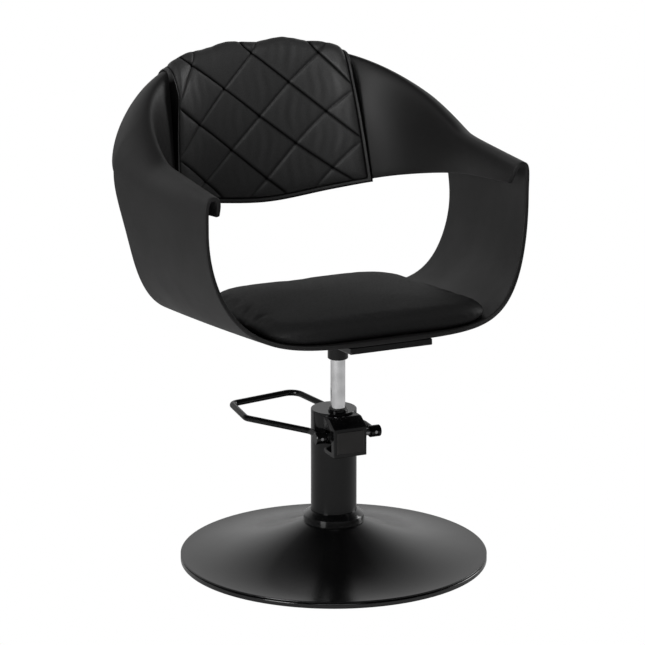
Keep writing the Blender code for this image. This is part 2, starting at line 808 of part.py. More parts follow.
def panel(u, turn):
    """Side panel and seat floor: u from front edge to rear edge, turn from floor to arm.

    Each section is a superellipse quarter standing on the tilted seat plane.
    """
    width, height, power = panel_section(u)
    up = np.sin(turn)
    front = SEAT_FRONT_Y + PANEL_SWEEP * up
    flare = lip_corner()[1] - SEAT_REAR_Y
    rear = SEAT_REAR_Y - REAR_DIP * up * (2 - up) + (flare + REAR_DIP) * up ** 20
    y = front + (rear - front) * u
    z = seat_plane_z(y) + height * (1 - np.cos(turn))
    return np.stack([width * up ** (2.0 / power), y, z], axis=-1)


def panel_section(u):
    """Half width, height and power of the section at u, from front edge 0 to rear edge 1."""
    corner = lip_corner()
    width = PANEL_FRONT_HALF_W + (corner[0] - PANEL_FRONT_HALF_W) * (1 - (1 - u) ** 2)
    front_h = ARM_Z - LIP_DROP[0][1] - seat_plane_z(SEAT_FRONT_Y + PANEL_SWEEP)
    rear_h = corner[2] - seat_plane_z(corner[1])
    power = PANEL_POWER[0] + (PANEL_POWER[1] - PANEL_POWER[0]) * u
    return width, front_h + (rear_h - front_h) * u, power


def lip_corner():
    """Where the panel's rear edge meets the free edge of the lip."""
    s = np.array([PANEL_END])
    place = crest(s) + outward(s) * eased(LIP_OUT, s)[:, None]
    place[:, 2] -= eased(LIP_DROP, s)
    return place[0]


def shoulder(s):
    """Lower edge of the outer strip: on the panel at the arms, the free lip at the back."""
    place = crest(s) + outward(s) * eased(LIP_OUT, s)[:, None]
    place[:, 2] -= eased(LIP_DROP, s)
    on_panel = panel(np.minimum(s / PANEL_END, 1.0), np.full_like(s, pi / 2))
    return np.where((s <= PANEL_END)[:, None], on_panel, place)


def bezier(a, b, c, d, t):
    return a * (1 - t) ** 3 + 3 * b * t * (1 - t) ** 2 + 3 * c * t ** 2 * (1 - t) + d * t ** 3


def band(s, v):
    """Strip over the crest: v from -1 at the band's lower edge, 0 at the crest, 1 at the lip.

    Each half is a cubic curve that leaves the crest level, along the outward direction.
    """
    top = crest(s)
    out = outward(s)
    x, y = wrap_plan(s, BAND_TIP, BAND_HALF_W, BEND_Y, BAND_BACK_Y, BAND_POWER)
    low = np.stack([x, y, eased(BAND_Z, s)], axis=-1)
    lip = shoulder(s)
    up = np.array([0.0, 0.0, 1.0])
    if v <= 0:
        inner = top - out * ROLL_R - up * ROLL_R
        return bezier(low, low + 0.72 * (inner - low), top - out * ROLL_R * 1.2, top, v + 1)
    upright = np.clip((1.0 - s) / (1.0 - PANEL_END), 0.0, 1.0)[:, None]
    slant = (top + out * ROLL_R - lip) * 0.55
    stand = up * (0.62 * (top[:, 2:] - lip[:, 2:]))
    near_lip = lip + slant + (stand - slant) * upright
    return bezier(top, top + out * ROLL_R * 1.2, near_lip, lip, v)


ARM_COLUMNS = 11
BACK_COLUMNS = 10
BAND_ROWS = 6
LIP_ROWS = 6
PANEL_ROWS = 14


def crest_stations():
    arm = np.linspace(0.0, PANEL_END, ARM_COLUMNS)
    back = np.linspace(PANEL_END, 1.0, BACK_COLUMNS + 1)[1:]
    return np.concatenate([arm, back])


def panel_turns():
    """Angles from arm to floor, closer together round the bend of the panel."""
    share = np.linspace(1.0, 0.0, PANEL_ROWS + 1)
    return (pi / 2) * share ** 1.35


def seat_shell(plastic):
    """One moulded sheet: floor, side panels, rolled arms, back band and its lip."""
    stations = crest_stations()
    count = len(stations)
    rows = [band(stations, v) for v in np.linspace(-1.0, 0.0, BAND_ROWS + 1)]
    rows += [band(stations, v) for v in np.linspace(0.0, 1.0, LIP_ROWS + 1)[1:]]
    mesh = bpy.data.meshes.new("seat_shell")
    shape = bmesh.new()
    grid = [[shape.verts.new(p) for p in row] for row in rows]
    for j in range(len(grid) - 1):
        for i in range(count - 1):
            shape.faces.new((grid[j][i], grid[j + 1][i], grid[j + 1][i + 1], grid[j][i + 1]))
    last = grid[-1][:ARM_COLUMNS]
    shares = stations[:ARM_COLUMNS] / PANEL_END
    for turn in panel_turns()[1:]:
        places = panel(shares, np.full_like(shares, turn))
        if turn == 0.0:
            places[:, 0] = 0.0
        fresh = [shape.verts.new(p) for p in places]
        for i in range(ARM_COLUMNS - 1):
            shape.faces.new((last[i], fresh[i], fresh[i + 1], last[i + 1]))
        last = fresh
    shape.to_mesh(mesh)
    shape.free()
    smooth(mesh, 60.0)
    shell = add_object("seat_shell", mesh, plastic)
    mirror = shell.modifiers.new("other_half", "MIRROR")
    mirror.use_clip = True
    mirror.merge_threshold = 0.00005
    wall = shell.modifiers.new("wall", "SOLIDIFY")
    wall.thickness = SHELL_T
    wall.offset = -1.0
    wall.use_even_offset = True
    for index, (x, y) in enumerate(bolt_places()):
        hole = cylinder(f"shell_hole_{index + 1}", BOLT_R + GAP, 0.05, None, (x, y, 0.0),
                        collection=CUTTERS)
        hole.parent = SEAT_FRAME
        boolean(shell, hole)


# ---------------------------------------------------------------- seat bracket and fixings
def bolt_places():
    return [(x, y) for y in BOLT_YS for x in (-BOLT_X, BOLT_X)]


def seat_empty():
    """Frame of the tilted seat: its origin lies on the shell's underside over the rod."""
    frame = bpy.data.objects.new("seat_frame", None)
    frame.location = (0.0, ROD_Y, SEAT_Z)
    frame.rotation_euler = (-radians(SEAT_TILT), 0.0, 0.0)
    PARTS.objects.link(frame)
    return frame


def seat_bracket(gloss):
    """Folded steel tray bolted under the shell."""
    length = BRACKET_REAR - BRACKET_FRONT
    middle = (BRACKET_REAR + BRACKET_FRONT) / 2
    depth = BRACKET_LIP
    tray = box("seat_bracket", (BRACKET_W, length, depth), (0.0, middle, -GAP - depth / 2),
               gloss)
    tray.parent = SEAT_FRAME
    bevel(tray, 0.0012, 1)
    inside = box("bracket_inside", (BRACKET_W - 2 * BRACKET_T, length - 2 * BRACKET_T, depth),
                 (0.0, middle, -GAP - BRACKET_T - depth / 2), None, CUTTERS)
    inside.parent = SEAT_FRAME
    boolean(tray, inside)
    for index, (x, y) in enumerate(bolt_places()):
        hole = cylinder(f"bracket_hole_{index + 1}", BOLT_R + GAP, 0.05, None, (x, y, 0.0),
                        collection=CUTTERS)
        hole.parent = SEAT_FRAME
        boolean(tray, hole)


def socket_top_z():
    """Where the socket's far side meets the tilted tray."""
    return SEAT_Z - BRACKET_T - 2 * GAP


def rod_socket(gloss):
    """Sleeve welded under the tray, cut to the tray's tilt, that holds the rod."""
    inner = ROD_R + GAP
    high = socket_top_z() + 0.01
    profile = [
        (SOCKET_R, high),
        (SOCKET_R, SOCKET_BOTTOM_Z + 0.001),
        (SOCKET_R - 0.001, SOCKET_BOTTOM_Z),
        (inner, SOCKET_BOTTOM_Z),
        (inner, high),
    ]
    socket = turned("rod_socket", profile, gloss, (0.0, ROD_Y))
    above = box("socket_top_cut", (0.2, 0.2, 0.1), (0.0, 0.0, 0.05 - BRACKET_T - 2 * GAP),
                None, CUTTERS)
    above.parent = SEAT_FRAME
    boolean(socket, above)
    screw = cylinder("socket_screw_bore", SOCKET_SCREW_R + GAP, 0.040, None,
                     (0.0, ROD_Y + SOCKET_R, SOCKET_SCREW_Z), (pi / 2, 0.0, 0.0),
                     collection=CUTTERS)
    boolean(socket, screw)


def socket_screw(steel):
    """Locking screw at the back of the sleeve."""
    start = ROD_Y + ROD_R + GAP
    shank = SOCKET_R - ROD_R + 0.002
    screw = cylinder("socket_screw", SOCKET_SCREW_R, shank, steel,
                     (0.0, start + shank / 2, SOCKET_SCREW_Z), (pi / 2, 0.0, 0.0), sides=12)
    head = cylinder("socket_screw_head", 0.0065, 0.005, None,
                    (0.0, start + shank + 0.002, SOCKET_SCREW_Z), (pi / 2, 0.0, 0.0), sides=12,
                    collection=CUTTERS)
    boolean(screw, head, "UNION")


def socket_gussets(gloss):
    """Two triangular ribs that stiffen the sleeve against the tray."""
    top = -GAP * 2 - BRACKET_T
    for name, side in (("socket_gusset_left", -1.0), ("socket_gusset_right", 1.0)):
        near = SOCKET_R + GAP
        far = BRACKET_W / 2 - BRACKET_T - 0.012
        thick = 0.004
        def build(shape, side=side, near=near, far=far, thick=thick):
            corners = [(near, top), (far, top), (far, top - 0.010), (near, top - 0.040)]
            face = shape.faces.new(
                [shape.verts.new((side * x, -thick / 2, z)) for x, z in corners])
            grown = bmesh.ops.extrude_face_region(shape, geom=[face])
            moved = [v for v in grown["geom"] if isinstance(v, bmesh.types.BMVert)]
            bmesh.ops.translate(shape, vec=(0.0, thick, 0.0), verts=moved)
        rib = add_object(name, new_mesh(name, build), gloss)
        rib.parent = SEAT_FRAME


def bracket_bolts(steel):
    """Bolts from under the tray, through the shell, into the seat board."""
    seat = -GAP * 2 - BRACKET_T
    tip = BOARD_LIFT + BOARD_T - 0.002
    for index, (x, y) in enumerate(bolt_places()):
        profile = [
            (0.0, tip),
            (BOLT_R, tip),
            (BOLT_R, seat),
            (1.7 * BOLT_R, seat),
            (1.7 * BOLT_R, seat - 0.005),
            (0.0, seat - 0.005),
        ]
        bolt = solid_turned(f"bracket_bolt_{index + 1}", profile, steel, sides=12)
        bolt.location = (x, y, 0.0)
        bolt.parent = SEAT_FRAME


def seat_board(wood):
    """Plywood board in the underside of the cushion, which takes the bolts."""
    length = BOARD_REAR - BOARD_FRONT
    board = box("seat_board", (2 * BOARD_HALF_W, length, BOARD_T),
                (0.0, (BOARD_REAR + BOARD_FRONT) / 2, BOARD_LIFT + BOARD_T / 2), wood)
    board.parent = SEAT_FRAME
    for index, (x, y) in enumerate(bolt_places()):
        depth = BOARD_T - 0.0015
        hole = cylinder(f"board_hole_{index + 1}", BOLT_R + GAP, 2 * depth, None,
                        (x, y, BOARD_LIFT), collection=CUTTERS)
        hole.parent = SEAT_FRAME
        boolean(board, hole)


def cushion_floor(x, y):
    """Height over the seat plane of the shell's inner face, plus the cushion's clearance."""
    share = (y + ROD_Y - SEAT_FRONT_Y) / (SEAT_REAR_Y - SEAT_FRONT_Y)
    half, height, power = panel_section(min(max(share, 0.0), 1.0))
    sine = (abs(x) / half) ** (power / 2.0)
    rise = height * (1 - sqrt(max(0.0, 1 - sine * sine)))
    slope = height * sine * (power / 2.0) * sine / max(abs(x), 0.001) / sqrt(1 - sine * sine)
    return rise + SHELL_T * sqrt(1 + slope * slope) + CUSHION_GAP


def cushion_edge(angle, share):
    """Plan outline of the cushion at a share of its full size: a superellipse, wider in front."""
    power = 2.0 / 6.0
    c, s = cos(angle), sin(angle)
    middle = (CUSHION_FRONT + CUSHION_REAR) / 2
    half_l = (CUSHION_REAR - CUSHION_FRONT) / 2
    y = middle + share * half_l * abs(s) ** power * (1 if s > 0 else -1)
    x = share * (CUSHION_HALF_W - CUSHION_TAPER * y) * abs(c) ** power * (1 if c > 0 else -1)
    return x, y


def seat_cushion(leather):
    """Upholstered seat pad: crowned top, rounded edge, underside laid into the shell."""
    around = 56
    angles = [2 * pi * k / around for k in range(around)]
    top_shares = (0.30, 0.60, 0.82, 0.93, 0.98, 1.0)
    low_shares = (0.985, 0.95, 0.86, 0.70, 0.40)

    def top_height(share):
        crown = CUSHION_H - 0.010 * share ** 2
        inset = max(0.0, (share - 0.90) / 0.10)
        return crown - CUSHION_EDGE * (1 - sqrt(max(0.0, 1 - inset ** 2)))

    def build(shape):
        rings = []
        for share in top_shares:
            ring = []
            for angle in angles:
                x, y = cushion_edge(angle, share)
                floor = cushion_floor(x, y)
                height = max(top_height(share), floor + 0.004)
                ring.append(shape.verts.new((x, y, height)))
            rings.append(ring)
        for share in low_shares:
            ring = []
            for angle in angles:
                x, y = cushion_edge(angle, share)
                lift = 0.010 * max(0.0, (share - 0.94) / 0.06) ** 2
                ring.append(shape.verts.new((x, y, cushion_floor(x, y) + lift)))
            rings.append(ring)
        for upper, lower in zip(rings, rings[1:]):
            for k in range(around):
                n = (k + 1) % around
                shape.faces.new((upper[k], upper[n], lower[n], lower[k]))
        shape.faces.new(rings[0])
        shape.faces.new(rings[-1])
    cushion = add_object("seat_cushion", new_mesh("seat_cushion", build), leather)
    smooth(cushion.data, 50.0)
    cushion.parent = SEAT_FRAME
    pocket = box("board_pocket",
                 (2 * (BOARD_HALF_W + CUSHION_GAP), BOARD_REAR - BOARD_FRONT + 2 * CUSHION_GAP,
                  0.1), (0.0, (BOARD_REAR + BOARD_FRONT) / 2,
                         BOARD_LIFT + BOARD_T + CUSHION_GAP - 0.05), None, CUTTERS)
    pocket.parent = SEAT_FRAME
    boolean(cushion, pocket)


# ---------------------------------------------------------------- back pad and its cover
def pad_columns(v):
    """Places along the crest from the pad's side edge to the centre, for one height v."""
    share = min(max(-v, 0.0), 1.0)
    half_w = PAD_TOP_HALF_W + (PAD_LOW_HALF_W - PAD_TOP_HALF_W) * share
    s = np.linspace(PANEL_END, 1.0, 400)
    start = np.interp(-half_w, -band(s, v)[:, 0], s)
    return start + (1.0 - start) * np.array(PAD_SHARES)


def laid_on(s, v, lift):
    """Points of the band's surface, moved off it by lift along its normal."""
    step = 0.02
    along = band(np.minimum(s + step, 1.0), v) - band(s - step, v)
    ends = s >= 1.0 - step
    along[ends] = np.array([-1.0, 0.0, 0.0])
    across = band(s, min(v + step, 1.0)) - band(s, max(v - step, -1.0))
    normal = np.cross(across, along)
    normal /= np.linalg.norm(normal, axis=-1, keepdims=True)
    return band(s, v) + normal * lift


def mirrored_rows(rows):
    """Rows for the right half, joined to their mirror images on the left."""
    whole = []
    for row in rows:
        row = row.copy()
        row[-1, 0] = 0.0
        other = row[-2::-1] * np.array([-1.0, 1.0, 1.0])
        whole.append(np.concatenate([row, other]))
    return whole


def closed_slab(name, inner, outer, finish):
    """A closed sheet between two sets of rows, with strips of faces round its four edges."""
    def build(shape):
        under = [[shape.verts.new(p) for p in row] for row in inner]
        over = [[shape.verts.new(p) for p in row] for row in outer]
        last = len(under[0]) - 1
        for j in range(len(under) - 1):
            for i in range(last):
                for sheet in (under, over):
                    shape.faces.new((sheet[j][i], sheet[j + 1][i], sheet[j + 1][i + 1],
                                     sheet[j][i + 1]))
            for i in (0, last):
                shape.faces.new((under[j][i], under[j + 1][i], over[j + 1][i], over[j][i]))
        for j in (0, -1):
            for i in range(last):
                shape.faces.new((under[j][i], under[j][i + 1], over[j][i + 1], over[j][i]))
    piece = add_object(name, new_mesh(name, build), finish)
    smooth(piece.data, 50.0)
    return piece


def slab(name, rows, thickness, finish):
    """A sheet through the rows with its thickness on the side away from the shell."""
    mesh = grid_mesh(name, mirrored_rows(rows))
    smooth(mesh, 50.0)
    piece = add_object(name, mesh, finish)
    wall = piece.modifiers.new("wall", "SOLIDIFY")
    wall.thickness = thickness
    wall.offset = 1.0
    wall.use_even_offset = True
    return piece


PAD_SHARES = (0.0, 0.04, 0.10, 0.20, 0.36, 0.52, 0.68, 0.84, 1.0)
PAD_ROWS = ((-1.0, 0.7, 0.005), (-0.8, 1.0, 0.007), (-0.6, 1.0, 0.013), (-0.4, 1.0, 0.018),
            (-0.24, 1.0, 0.019), (-0.12, 1.0, 0.015), (-0.04, 1.0, 0.009), (0.04, 0.9, 0.006),
            (PAD_OVER, 0.5, 0.005))


def pad_lift(fullness, edge_t):
    """Height of the padding over the shell, from its side edge to full thickness inside.

    The pad bridges the shell's curve, so its upper side edges stand higher than the rest.
    """
    rise = 1.0 - (1.0 - np.clip(np.array(PAD_SHARES) / 0.36, 0.0, 1.0)) ** 2
    return COVER_GAP + (edge_t + (PAD_T - edge_t) * rise) * fullness


def back_pad(leather):
    """Quilted front pad: from just under the band's lower edge up and over the crest."""
    low = pad_columns(-1.0)
    edge = laid_on(low, -1.0, COVER_GAP)
    down = edge - laid_on(pad_columns(-0.88), -0.88, COVER_GAP)
    down *= PAD_DROP / np.linalg.norm(down, axis=-1, keepdims=True)
    face = laid_on(low, -1.0, pad_lift(*PAD_ROWS[0][1:])[:, None])
    inner = [edge + down]
    outer = [face + down]
    for v, fullness, edge_t in PAD_ROWS:
        inner.append(laid_on(pad_columns(v), v, COVER_GAP))
        outer.append(laid_on(pad_columns(v), v, pad_lift(fullness, edge_t)[:, None]))
    closed_slab("back_pad", mirrored_rows(inner), mirrored_rows(outer), leather)


def back_cover(leather):
    """Rear half of the cover: from the pad over the lip, then down behind the band."""
    heights = (PAD_OVER + 0.06, 0.36, 0.55, 0.78, 1.0)
    rows = [laid_on(pad_columns(v), v, COVER_GAP) for v in heights]
    lip = rows[-1]
    low = laid_on(pad_columns(-1.0), -1.0, -(SHELL_T + COVER_GAP + 0.004))
    for share in (0.10, 0.25, 0.5, 0.75, 1.0):
        row = lip + (low - lip) * share
        row[:, 1] += 0.012 * sin(pi * share)
        rows.append(row)
    slab("back_cover", rows, COVER_CLOTH_T, leather)


# ---------------------------------------------------------------- build
iron = material("cast_iron", (0.020, 0.020, 0.021), 0.60, 0.3)
base_gloss = material("black_rim", (0.012, 0.012, 0.013), 0.25)
base_satin = material("satin_black_steel", (0.016, 0.016, 0.017), 0.38)
pump_gloss = material("gloss_black_enamel", (0.010, 0.010, 0.011), 0.18)
box_dark = material("box_plate", (0.022, 0.021, 0.021), 0.40)
chrome = material("polished_rod", (0.78, 0.78, 0.79), 0.14, 1.0)
steel = material("plain_steel", (0.35, 0.35, 0.36), 0.35, 1.0)
spring_steel = material("spring_steel", (0.30, 0.30, 0.32), 0.30, 1.0)
brass = material("brass", (0.55, 0.42, 0.18), 0.35, 1.0)
rubber = material("black_rubber", (0.015, 0.015, 0.015), 0.70)
plastic = material("black_shell", (0.022, 0.022, 0.023), 0.42)
seat_leather = material("black_leatherette", (0.014, 0.014, 0.015), 0.48)
pad_leather = material("quilted_leatherette", (0.013, 0.013, 0.014), 0.50)
wood = material("plywood", (0.45, 0.32, 0.18), 0.70)

SEAT_FRAME = seat_empty()

base_plate(iron)
base_rim(base_gloss)
base_cover(base_satin)
base_collar(base_gloss)
collar_screw(steel)
pump_flange(base_gloss)
flange_bolts(steel)
pump_tube(pump_gloss)
cylinder_head(pump_gloss)
inner_cylinder(steel)
foot_valve(brass)
gland_and_seal(pump_gloss, rubber)
piston_rod(chrome)
piston_and_ring(steel, rubber)
lever_box(pump_gloss)
box_cover(box_dark)
pedal_shaft(steel)
half_box = BOX_W / 2
shaft_bush("shaft_bush", half_box - BOX_WALL + GAP, half_box - GAP,
           SHAFT_R + BUSH_T - GAP, brass)
pedal_hub("pedal_hub_left", HUB_LEFT_X + HUB_L / 2, pump_gloss)
pedal_hub("pedal_hub_right", HUB_RIGHT_X - HUB_L / 2, pump_gloss)
hub_screw("hub_screw_left", HUB_LEFT_X + HUB_L / 2, steel)
hub_screw("hub_screw_right", HUB_RIGHT_X - HUB_L / 2, steel)
foot_pedal(pump_gloss)
pump_finger(steel)
plunger_set(steel, brass, spring_steel)
release_valve(brass)
seat_shell(plastic)
seat_bracket(base_gloss)
rod_socket(base_gloss)
socket_screw(steel)
socket_gussets(base_gloss)
bracket_bolts(steel)
seat_board(wood)
seat_cushion(seat_leather)
back_pad(pad_leather)
back_cover(pad_leather)
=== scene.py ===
from math import cos, pi, radians, sin

import bmesh
import bpy
import numpy as np
from mathutils import Matrix, Vector


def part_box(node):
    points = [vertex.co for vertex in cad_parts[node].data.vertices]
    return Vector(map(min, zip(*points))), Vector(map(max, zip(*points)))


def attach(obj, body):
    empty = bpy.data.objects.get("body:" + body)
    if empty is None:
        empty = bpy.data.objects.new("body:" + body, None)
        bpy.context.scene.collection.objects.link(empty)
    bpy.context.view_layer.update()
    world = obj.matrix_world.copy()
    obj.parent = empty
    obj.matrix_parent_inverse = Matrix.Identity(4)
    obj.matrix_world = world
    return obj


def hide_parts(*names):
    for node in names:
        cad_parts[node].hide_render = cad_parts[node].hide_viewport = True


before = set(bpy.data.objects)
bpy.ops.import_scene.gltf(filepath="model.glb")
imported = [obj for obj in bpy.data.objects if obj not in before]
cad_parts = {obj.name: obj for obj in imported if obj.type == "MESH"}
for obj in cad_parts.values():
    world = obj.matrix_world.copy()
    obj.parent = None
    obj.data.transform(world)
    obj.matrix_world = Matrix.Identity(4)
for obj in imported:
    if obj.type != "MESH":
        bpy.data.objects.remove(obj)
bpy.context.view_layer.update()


# ================================================================ floor base
# A heavy iron disc stands on the floor inside a glossy trim ring. Over it lies a thin steel
# cover, spun to a shallow trumpet and powder coated satin black, with its edge rolled under.
def grid_mesh(name, points, around=False, ring=False):
    """Quads over an (n, m, 3) grid. around joins last column to first, ring last row to first."""
    rows, columns = points.shape[:2]
    index = np.arange(rows * columns).reshape(rows, columns)
    if around:
        index = np.concatenate([index, index[:, :1]], axis=1)
    if ring:
        index = np.concatenate([index, index[:1]], axis=0)
    corners = (index[:-1, :-1], index[:-1, 1:], index[1:, 1:], index[1:, :-1])
    mesh = bpy.data.meshes.new(name)
    mesh.from_pydata(points.reshape(-1, 3), [], np.stack(corners, axis=-1).reshape(-1, 4))
    return mesh


def closed_up(mesh, sharp=35.0):
    """Merges seams and poles, turns faces outwards and shades smooth between sharp edges."""
    work = bmesh.new()
    work.from_mesh(mesh)
    bmesh.ops.remove_doubles(work, verts=work.verts, dist=1e-6)
    bmesh.ops.recalc_face_normals(work, faces=work.faces)
    work.to_mesh(mesh)
    work.free()
    mesh.shade_smooth()
    mesh.set_sharp_from_angle(angle=radians(sharp))
    return mesh


def turned(name, profile, centre=(0.0, 0.0), sides=160, ring=True):
    """Points (r, z) carried round an upright axis: x = r cos a, y = r sin a, z unchanged."""
    angle = np.linspace(0.0, 2.0 * pi, sides, endpoint=False)
    radius, height = np.asarray(profile).T
    x = centre[0] + np.outer(radius, np.cos(angle))
    y = centre[1] + np.outer(radius, np.sin(angle))
    z = np.repeat(height[:, None], sides, axis=1)
    return closed_up(grid_mesh(name, np.stack([x, y, z], axis=-1), around=True, ring=ring))


def eased_corners(corners, reach, steps=5):
    """Closed profile whose corners c become (1-t)^2 a + 2t(1-t) c + t^2 b.

    a and b lie a reach away from the corner, on the sides before and after it.
    """
    corner = np.asarray(corners, dtype=float)
    reach = np.broadcast_to(reach, len(corner))[:, None]
    before = np.roll(corner, 1, axis=0) - corner
    after = np.roll(corner, -1, axis=0) - corner
    a = corner + before / np.linalg.norm(before, axis=1, keepdims=True) * reach
    b = corner + after / np.linalg.norm(after, axis=1, keepdims=True) * reach
    t = np.linspace(0.0, 1.0, steps)[None, :, None]
    curve = (1 - t) ** 2 * a[:, None] + 2 * t * (1 - t) * corner[:, None] + t ** 2 * b[:, None]
    return curve.reshape(-1, 2)


def add_piece(mesh, finish, body, slot, *nodes):
    """The mesh as an object at the origin that rides on a body and stands for its CAD nodes."""
    piece = bpy.data.objects.new(mesh.name, mesh)
    bpy.context.scene.collection.objects.link(piece)
    mesh.materials.clear()
    mesh.materials.append(finish)
    if nodes:
        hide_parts(*nodes)
    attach(piece, body)
    return piece


def shader_group(name, inputs, outputs):
    """An empty shader node group: inputs are (name, kind, value), outputs (name, kind)."""
    group = bpy.data.node_groups.new(name, "ShaderNodeTree")
    for label, kind, value in inputs:
        socket = group.interface.new_socket(label, in_out="INPUT", socket_type=kind)
        if value is not None:
            socket.default_value = value
    for label, kind in outputs:
        group.interface.new_socket(label, in_out="OUTPUT", socket_type=kind)
    return group, group.nodes.new("NodeGroupInput"), group.nodes.new("NodeGroupOutput")


def node_in(tree, kind, links=(), **settings):
    """A new node with its settings; links are (input name or number, source socket)."""
    node = tree.nodes.new(kind)
    for label, value in settings.items():
        setattr(node, label, value)
    for target, source in links:
        if hasattr(source, "is_output"):
            tree.links.new(source, node.inputs[target])
        else:
            node.inputs[target].default_value = source
    return node


def coat_ripple_group():
    """Sprayed paint: low ripples of the coat, and a cloudy value for its roughness."""
    group, given, made = shader_group(
        "coat_ripple",
        (("Vector", "NodeSocketVector", None), ("Ripple Scale", "NodeSocketFloat", 500.0),
         ("Ripple Depth", "NodeSocketFloat", 0.1), ("Cloud Scale", "NodeSocketFloat", 14.0),
         ("Smooth", "NodeSocketFloat", 0.3), ("Rough", "NodeSocketFloat", 0.4)),
        (("Roughness", "NodeSocketFloat"), ("Normal", "NodeSocketVector")))
    ripple = node_in(group, "ShaderNodeTexNoise",
                     (("Vector", given.outputs["Vector"]),
                      ("Scale", given.outputs["Ripple Scale"]), ("Detail", 2.0)))
    bump = node_in(group, "ShaderNodeBump",
                   (("Height", ripple.outputs["Fac"]),
                    ("Strength", given.outputs["Ripple Depth"]), ("Distance", 0.001)))
    cloud = node_in(group, "ShaderNodeTexNoise",
                    (("Vector", given.outputs["Vector"]),
                     ("Scale", given.outputs["Cloud Scale"]), ("Detail", 5.0),
                     ("Roughness", 0.6)))
    spread = node_in(group, "ShaderNodeMapRange",
                     (("Value", cloud.outputs["Fac"]), ("From Min", 0.35), ("From Max", 0.65),
                      ("To Min", given.outputs["Smooth"]), ("To Max", given.outputs["Rough"])))
    group.links.new(spread.outputs["Result"], made.inputs["Roughness"])
    group.links.new(bump.outputs["Normal"], made.inputs["Normal"])
    return group


COAT_RIPPLE = coat_ripple_group()


def blank_finish(name, metallic=0.0, coat=0.0, coat_roughness=0.05):
    """A Principled material with object coordinates ready: (material, tree, shader, place)."""
    mat = bpy.data.materials.new(name)
    mat.use_nodes = True
    tree = mat.node_tree
    shader = tree.nodes["Principled BSDF"]
    shader.inputs["Metallic"].default_value = metallic
    shader.inputs["Coat Weight"].default_value = coat
    shader.inputs["Coat Roughness"].default_value = coat_roughness
    place = tree.nodes.new("ShaderNodeTexCoord").outputs["Object"]
    return mat, tree, shader, place


def cloudy_colour(tree, place, scale, dark, light):
    """Colour that drifts between two tones with a soft noise."""
    cloud = node_in(tree, "ShaderNodeTexNoise", (("Vector", place), ("Scale", scale),
                                                 ("Detail", 6.0)))
    ramp = node_in(tree, "ShaderNodeValToRGB", (("Fac", cloud.outputs["Fac"]),))
    ramp.color_ramp.elements[0].position = 0.36
    ramp.color_ramp.elements[1].position = 0.66
    ramp.color_ramp.elements[0].color = (*dark, 1.0)
    ramp.color_ramp.elements[1].color = (*light, 1.0)
    return ramp.outputs["Color"]


def painted_steel(name, dark, light, smooth, rough, ripple_scale, ripple_depth, coat=0.0,
                  gloss=0.5):
    """Black paint on steel or castings, with ripples and clouds of its own size."""
    mat, tree, shader, place = blank_finish(name, coat=coat)
    paint = node_in(tree, "ShaderNodeGroup", node_tree=COAT_RIPPLE)
    tree.links.new(place, paint.inputs["Vector"])
    paint.inputs["Ripple Scale"].default_value = ripple_scale
    paint.inputs["Ripple Depth"].default_value = ripple_depth
    paint.inputs["Smooth"].default_value = smooth
    paint.inputs["Rough"].default_value = rough
    shader.inputs["Specular IOR Level"].default_value = gloss
    tree.links.new(cloudy_colour(tree, place, 9.0, dark, light), shader.inputs["Base Color"])
    tree.links.new(paint.outputs["Roughness"], shader.inputs["Roughness"])
    tree.links.new(paint.outputs["Normal"], shader.inputs["Normal"])
    return mat


def dress(names, finish):
    """Gives CAD nodes that stay in view a finish, welded and shaded smooth between edges."""
    for name in names:
        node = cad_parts[name]
        if not node.material_slots:
            node.data.materials.append(finish)
        node.material_slots[0].material = finish
        node.modifiers.new("smooth_shading", "NODES").node_group = SMOOTH_SHADING


def smooth_shading_group(sharp=33.0):
    """Geometry nodes: merge corners, shade faces smooth, keep edges sharper than the angle."""
    tree = bpy.data.node_groups.new("smooth_shading", "GeometryNodeTree")
    tree.interface.new_socket("Geometry", in_out="INPUT", socket_type="NodeSocketGeometry")
    tree.interface.new_socket("Geometry", in_out="OUTPUT", socket_type="NodeSocketGeometry")
    given = tree.nodes.new("NodeGroupInput")
    made = tree.nodes.new("NodeGroupOutput")
    merged = node_in(tree, "GeometryNodeMergeByDistance",
                     (("Geometry", given.outputs["Geometry"]), ("Distance", 1e-6)))
    faces = node_in(tree, "GeometryNodeSetShadeSmooth",
                    (("Geometry", merged.outputs["Geometry"]), ("Shade Smooth", True)))
    bend = tree.nodes.new("GeometryNodeInputMeshEdgeAngle")
    is_edge = node_in(tree, "FunctionNodeCompare",
                      (("A", bend.outputs["Unsigned Angle"]), ("B", radians(sharp))),
                      operation="GREATER_THAN")
    edges = node_in(tree, "GeometryNodeSetShadeSmooth",
                    (("Geometry", faces.outputs["Geometry"]),
                     ("Selection", is_edge.outputs["Result"]), ("Shade Smooth", False)),
                    domain="EDGE")
    tree.links.new(edges.outputs["Geometry"], made.inputs["Geometry"])
    return tree


SMOOTH_SHADING = smooth_shading_group()

base_satin = painted_steel("satin_black_powder_coat", (0.0032, 0.0032, 0.0034),
                           (0.0048, 0.0048, 0.0050), 0.19, 0.23, 900.0, 0.012)
rim_gloss = painted_steel("gloss_black_trim", (0.0030, 0.0030, 0.0032),
                          (0.0045, 0.0045, 0.0047), 0.12, 0.17, 600.0, 0.02, coat=0.3)
iron = painted_steel("cast_iron_primer", (0.016, 0.016, 0.017), (0.028, 0.027, 0.027),
                     0.55, 0.70, 700.0, 0.35)

cover_low, cover_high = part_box("base_cover")
base_r = cover_high[0]
collar_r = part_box("base_collar")[1][0]
tube_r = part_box("pump_tube")[1][0]


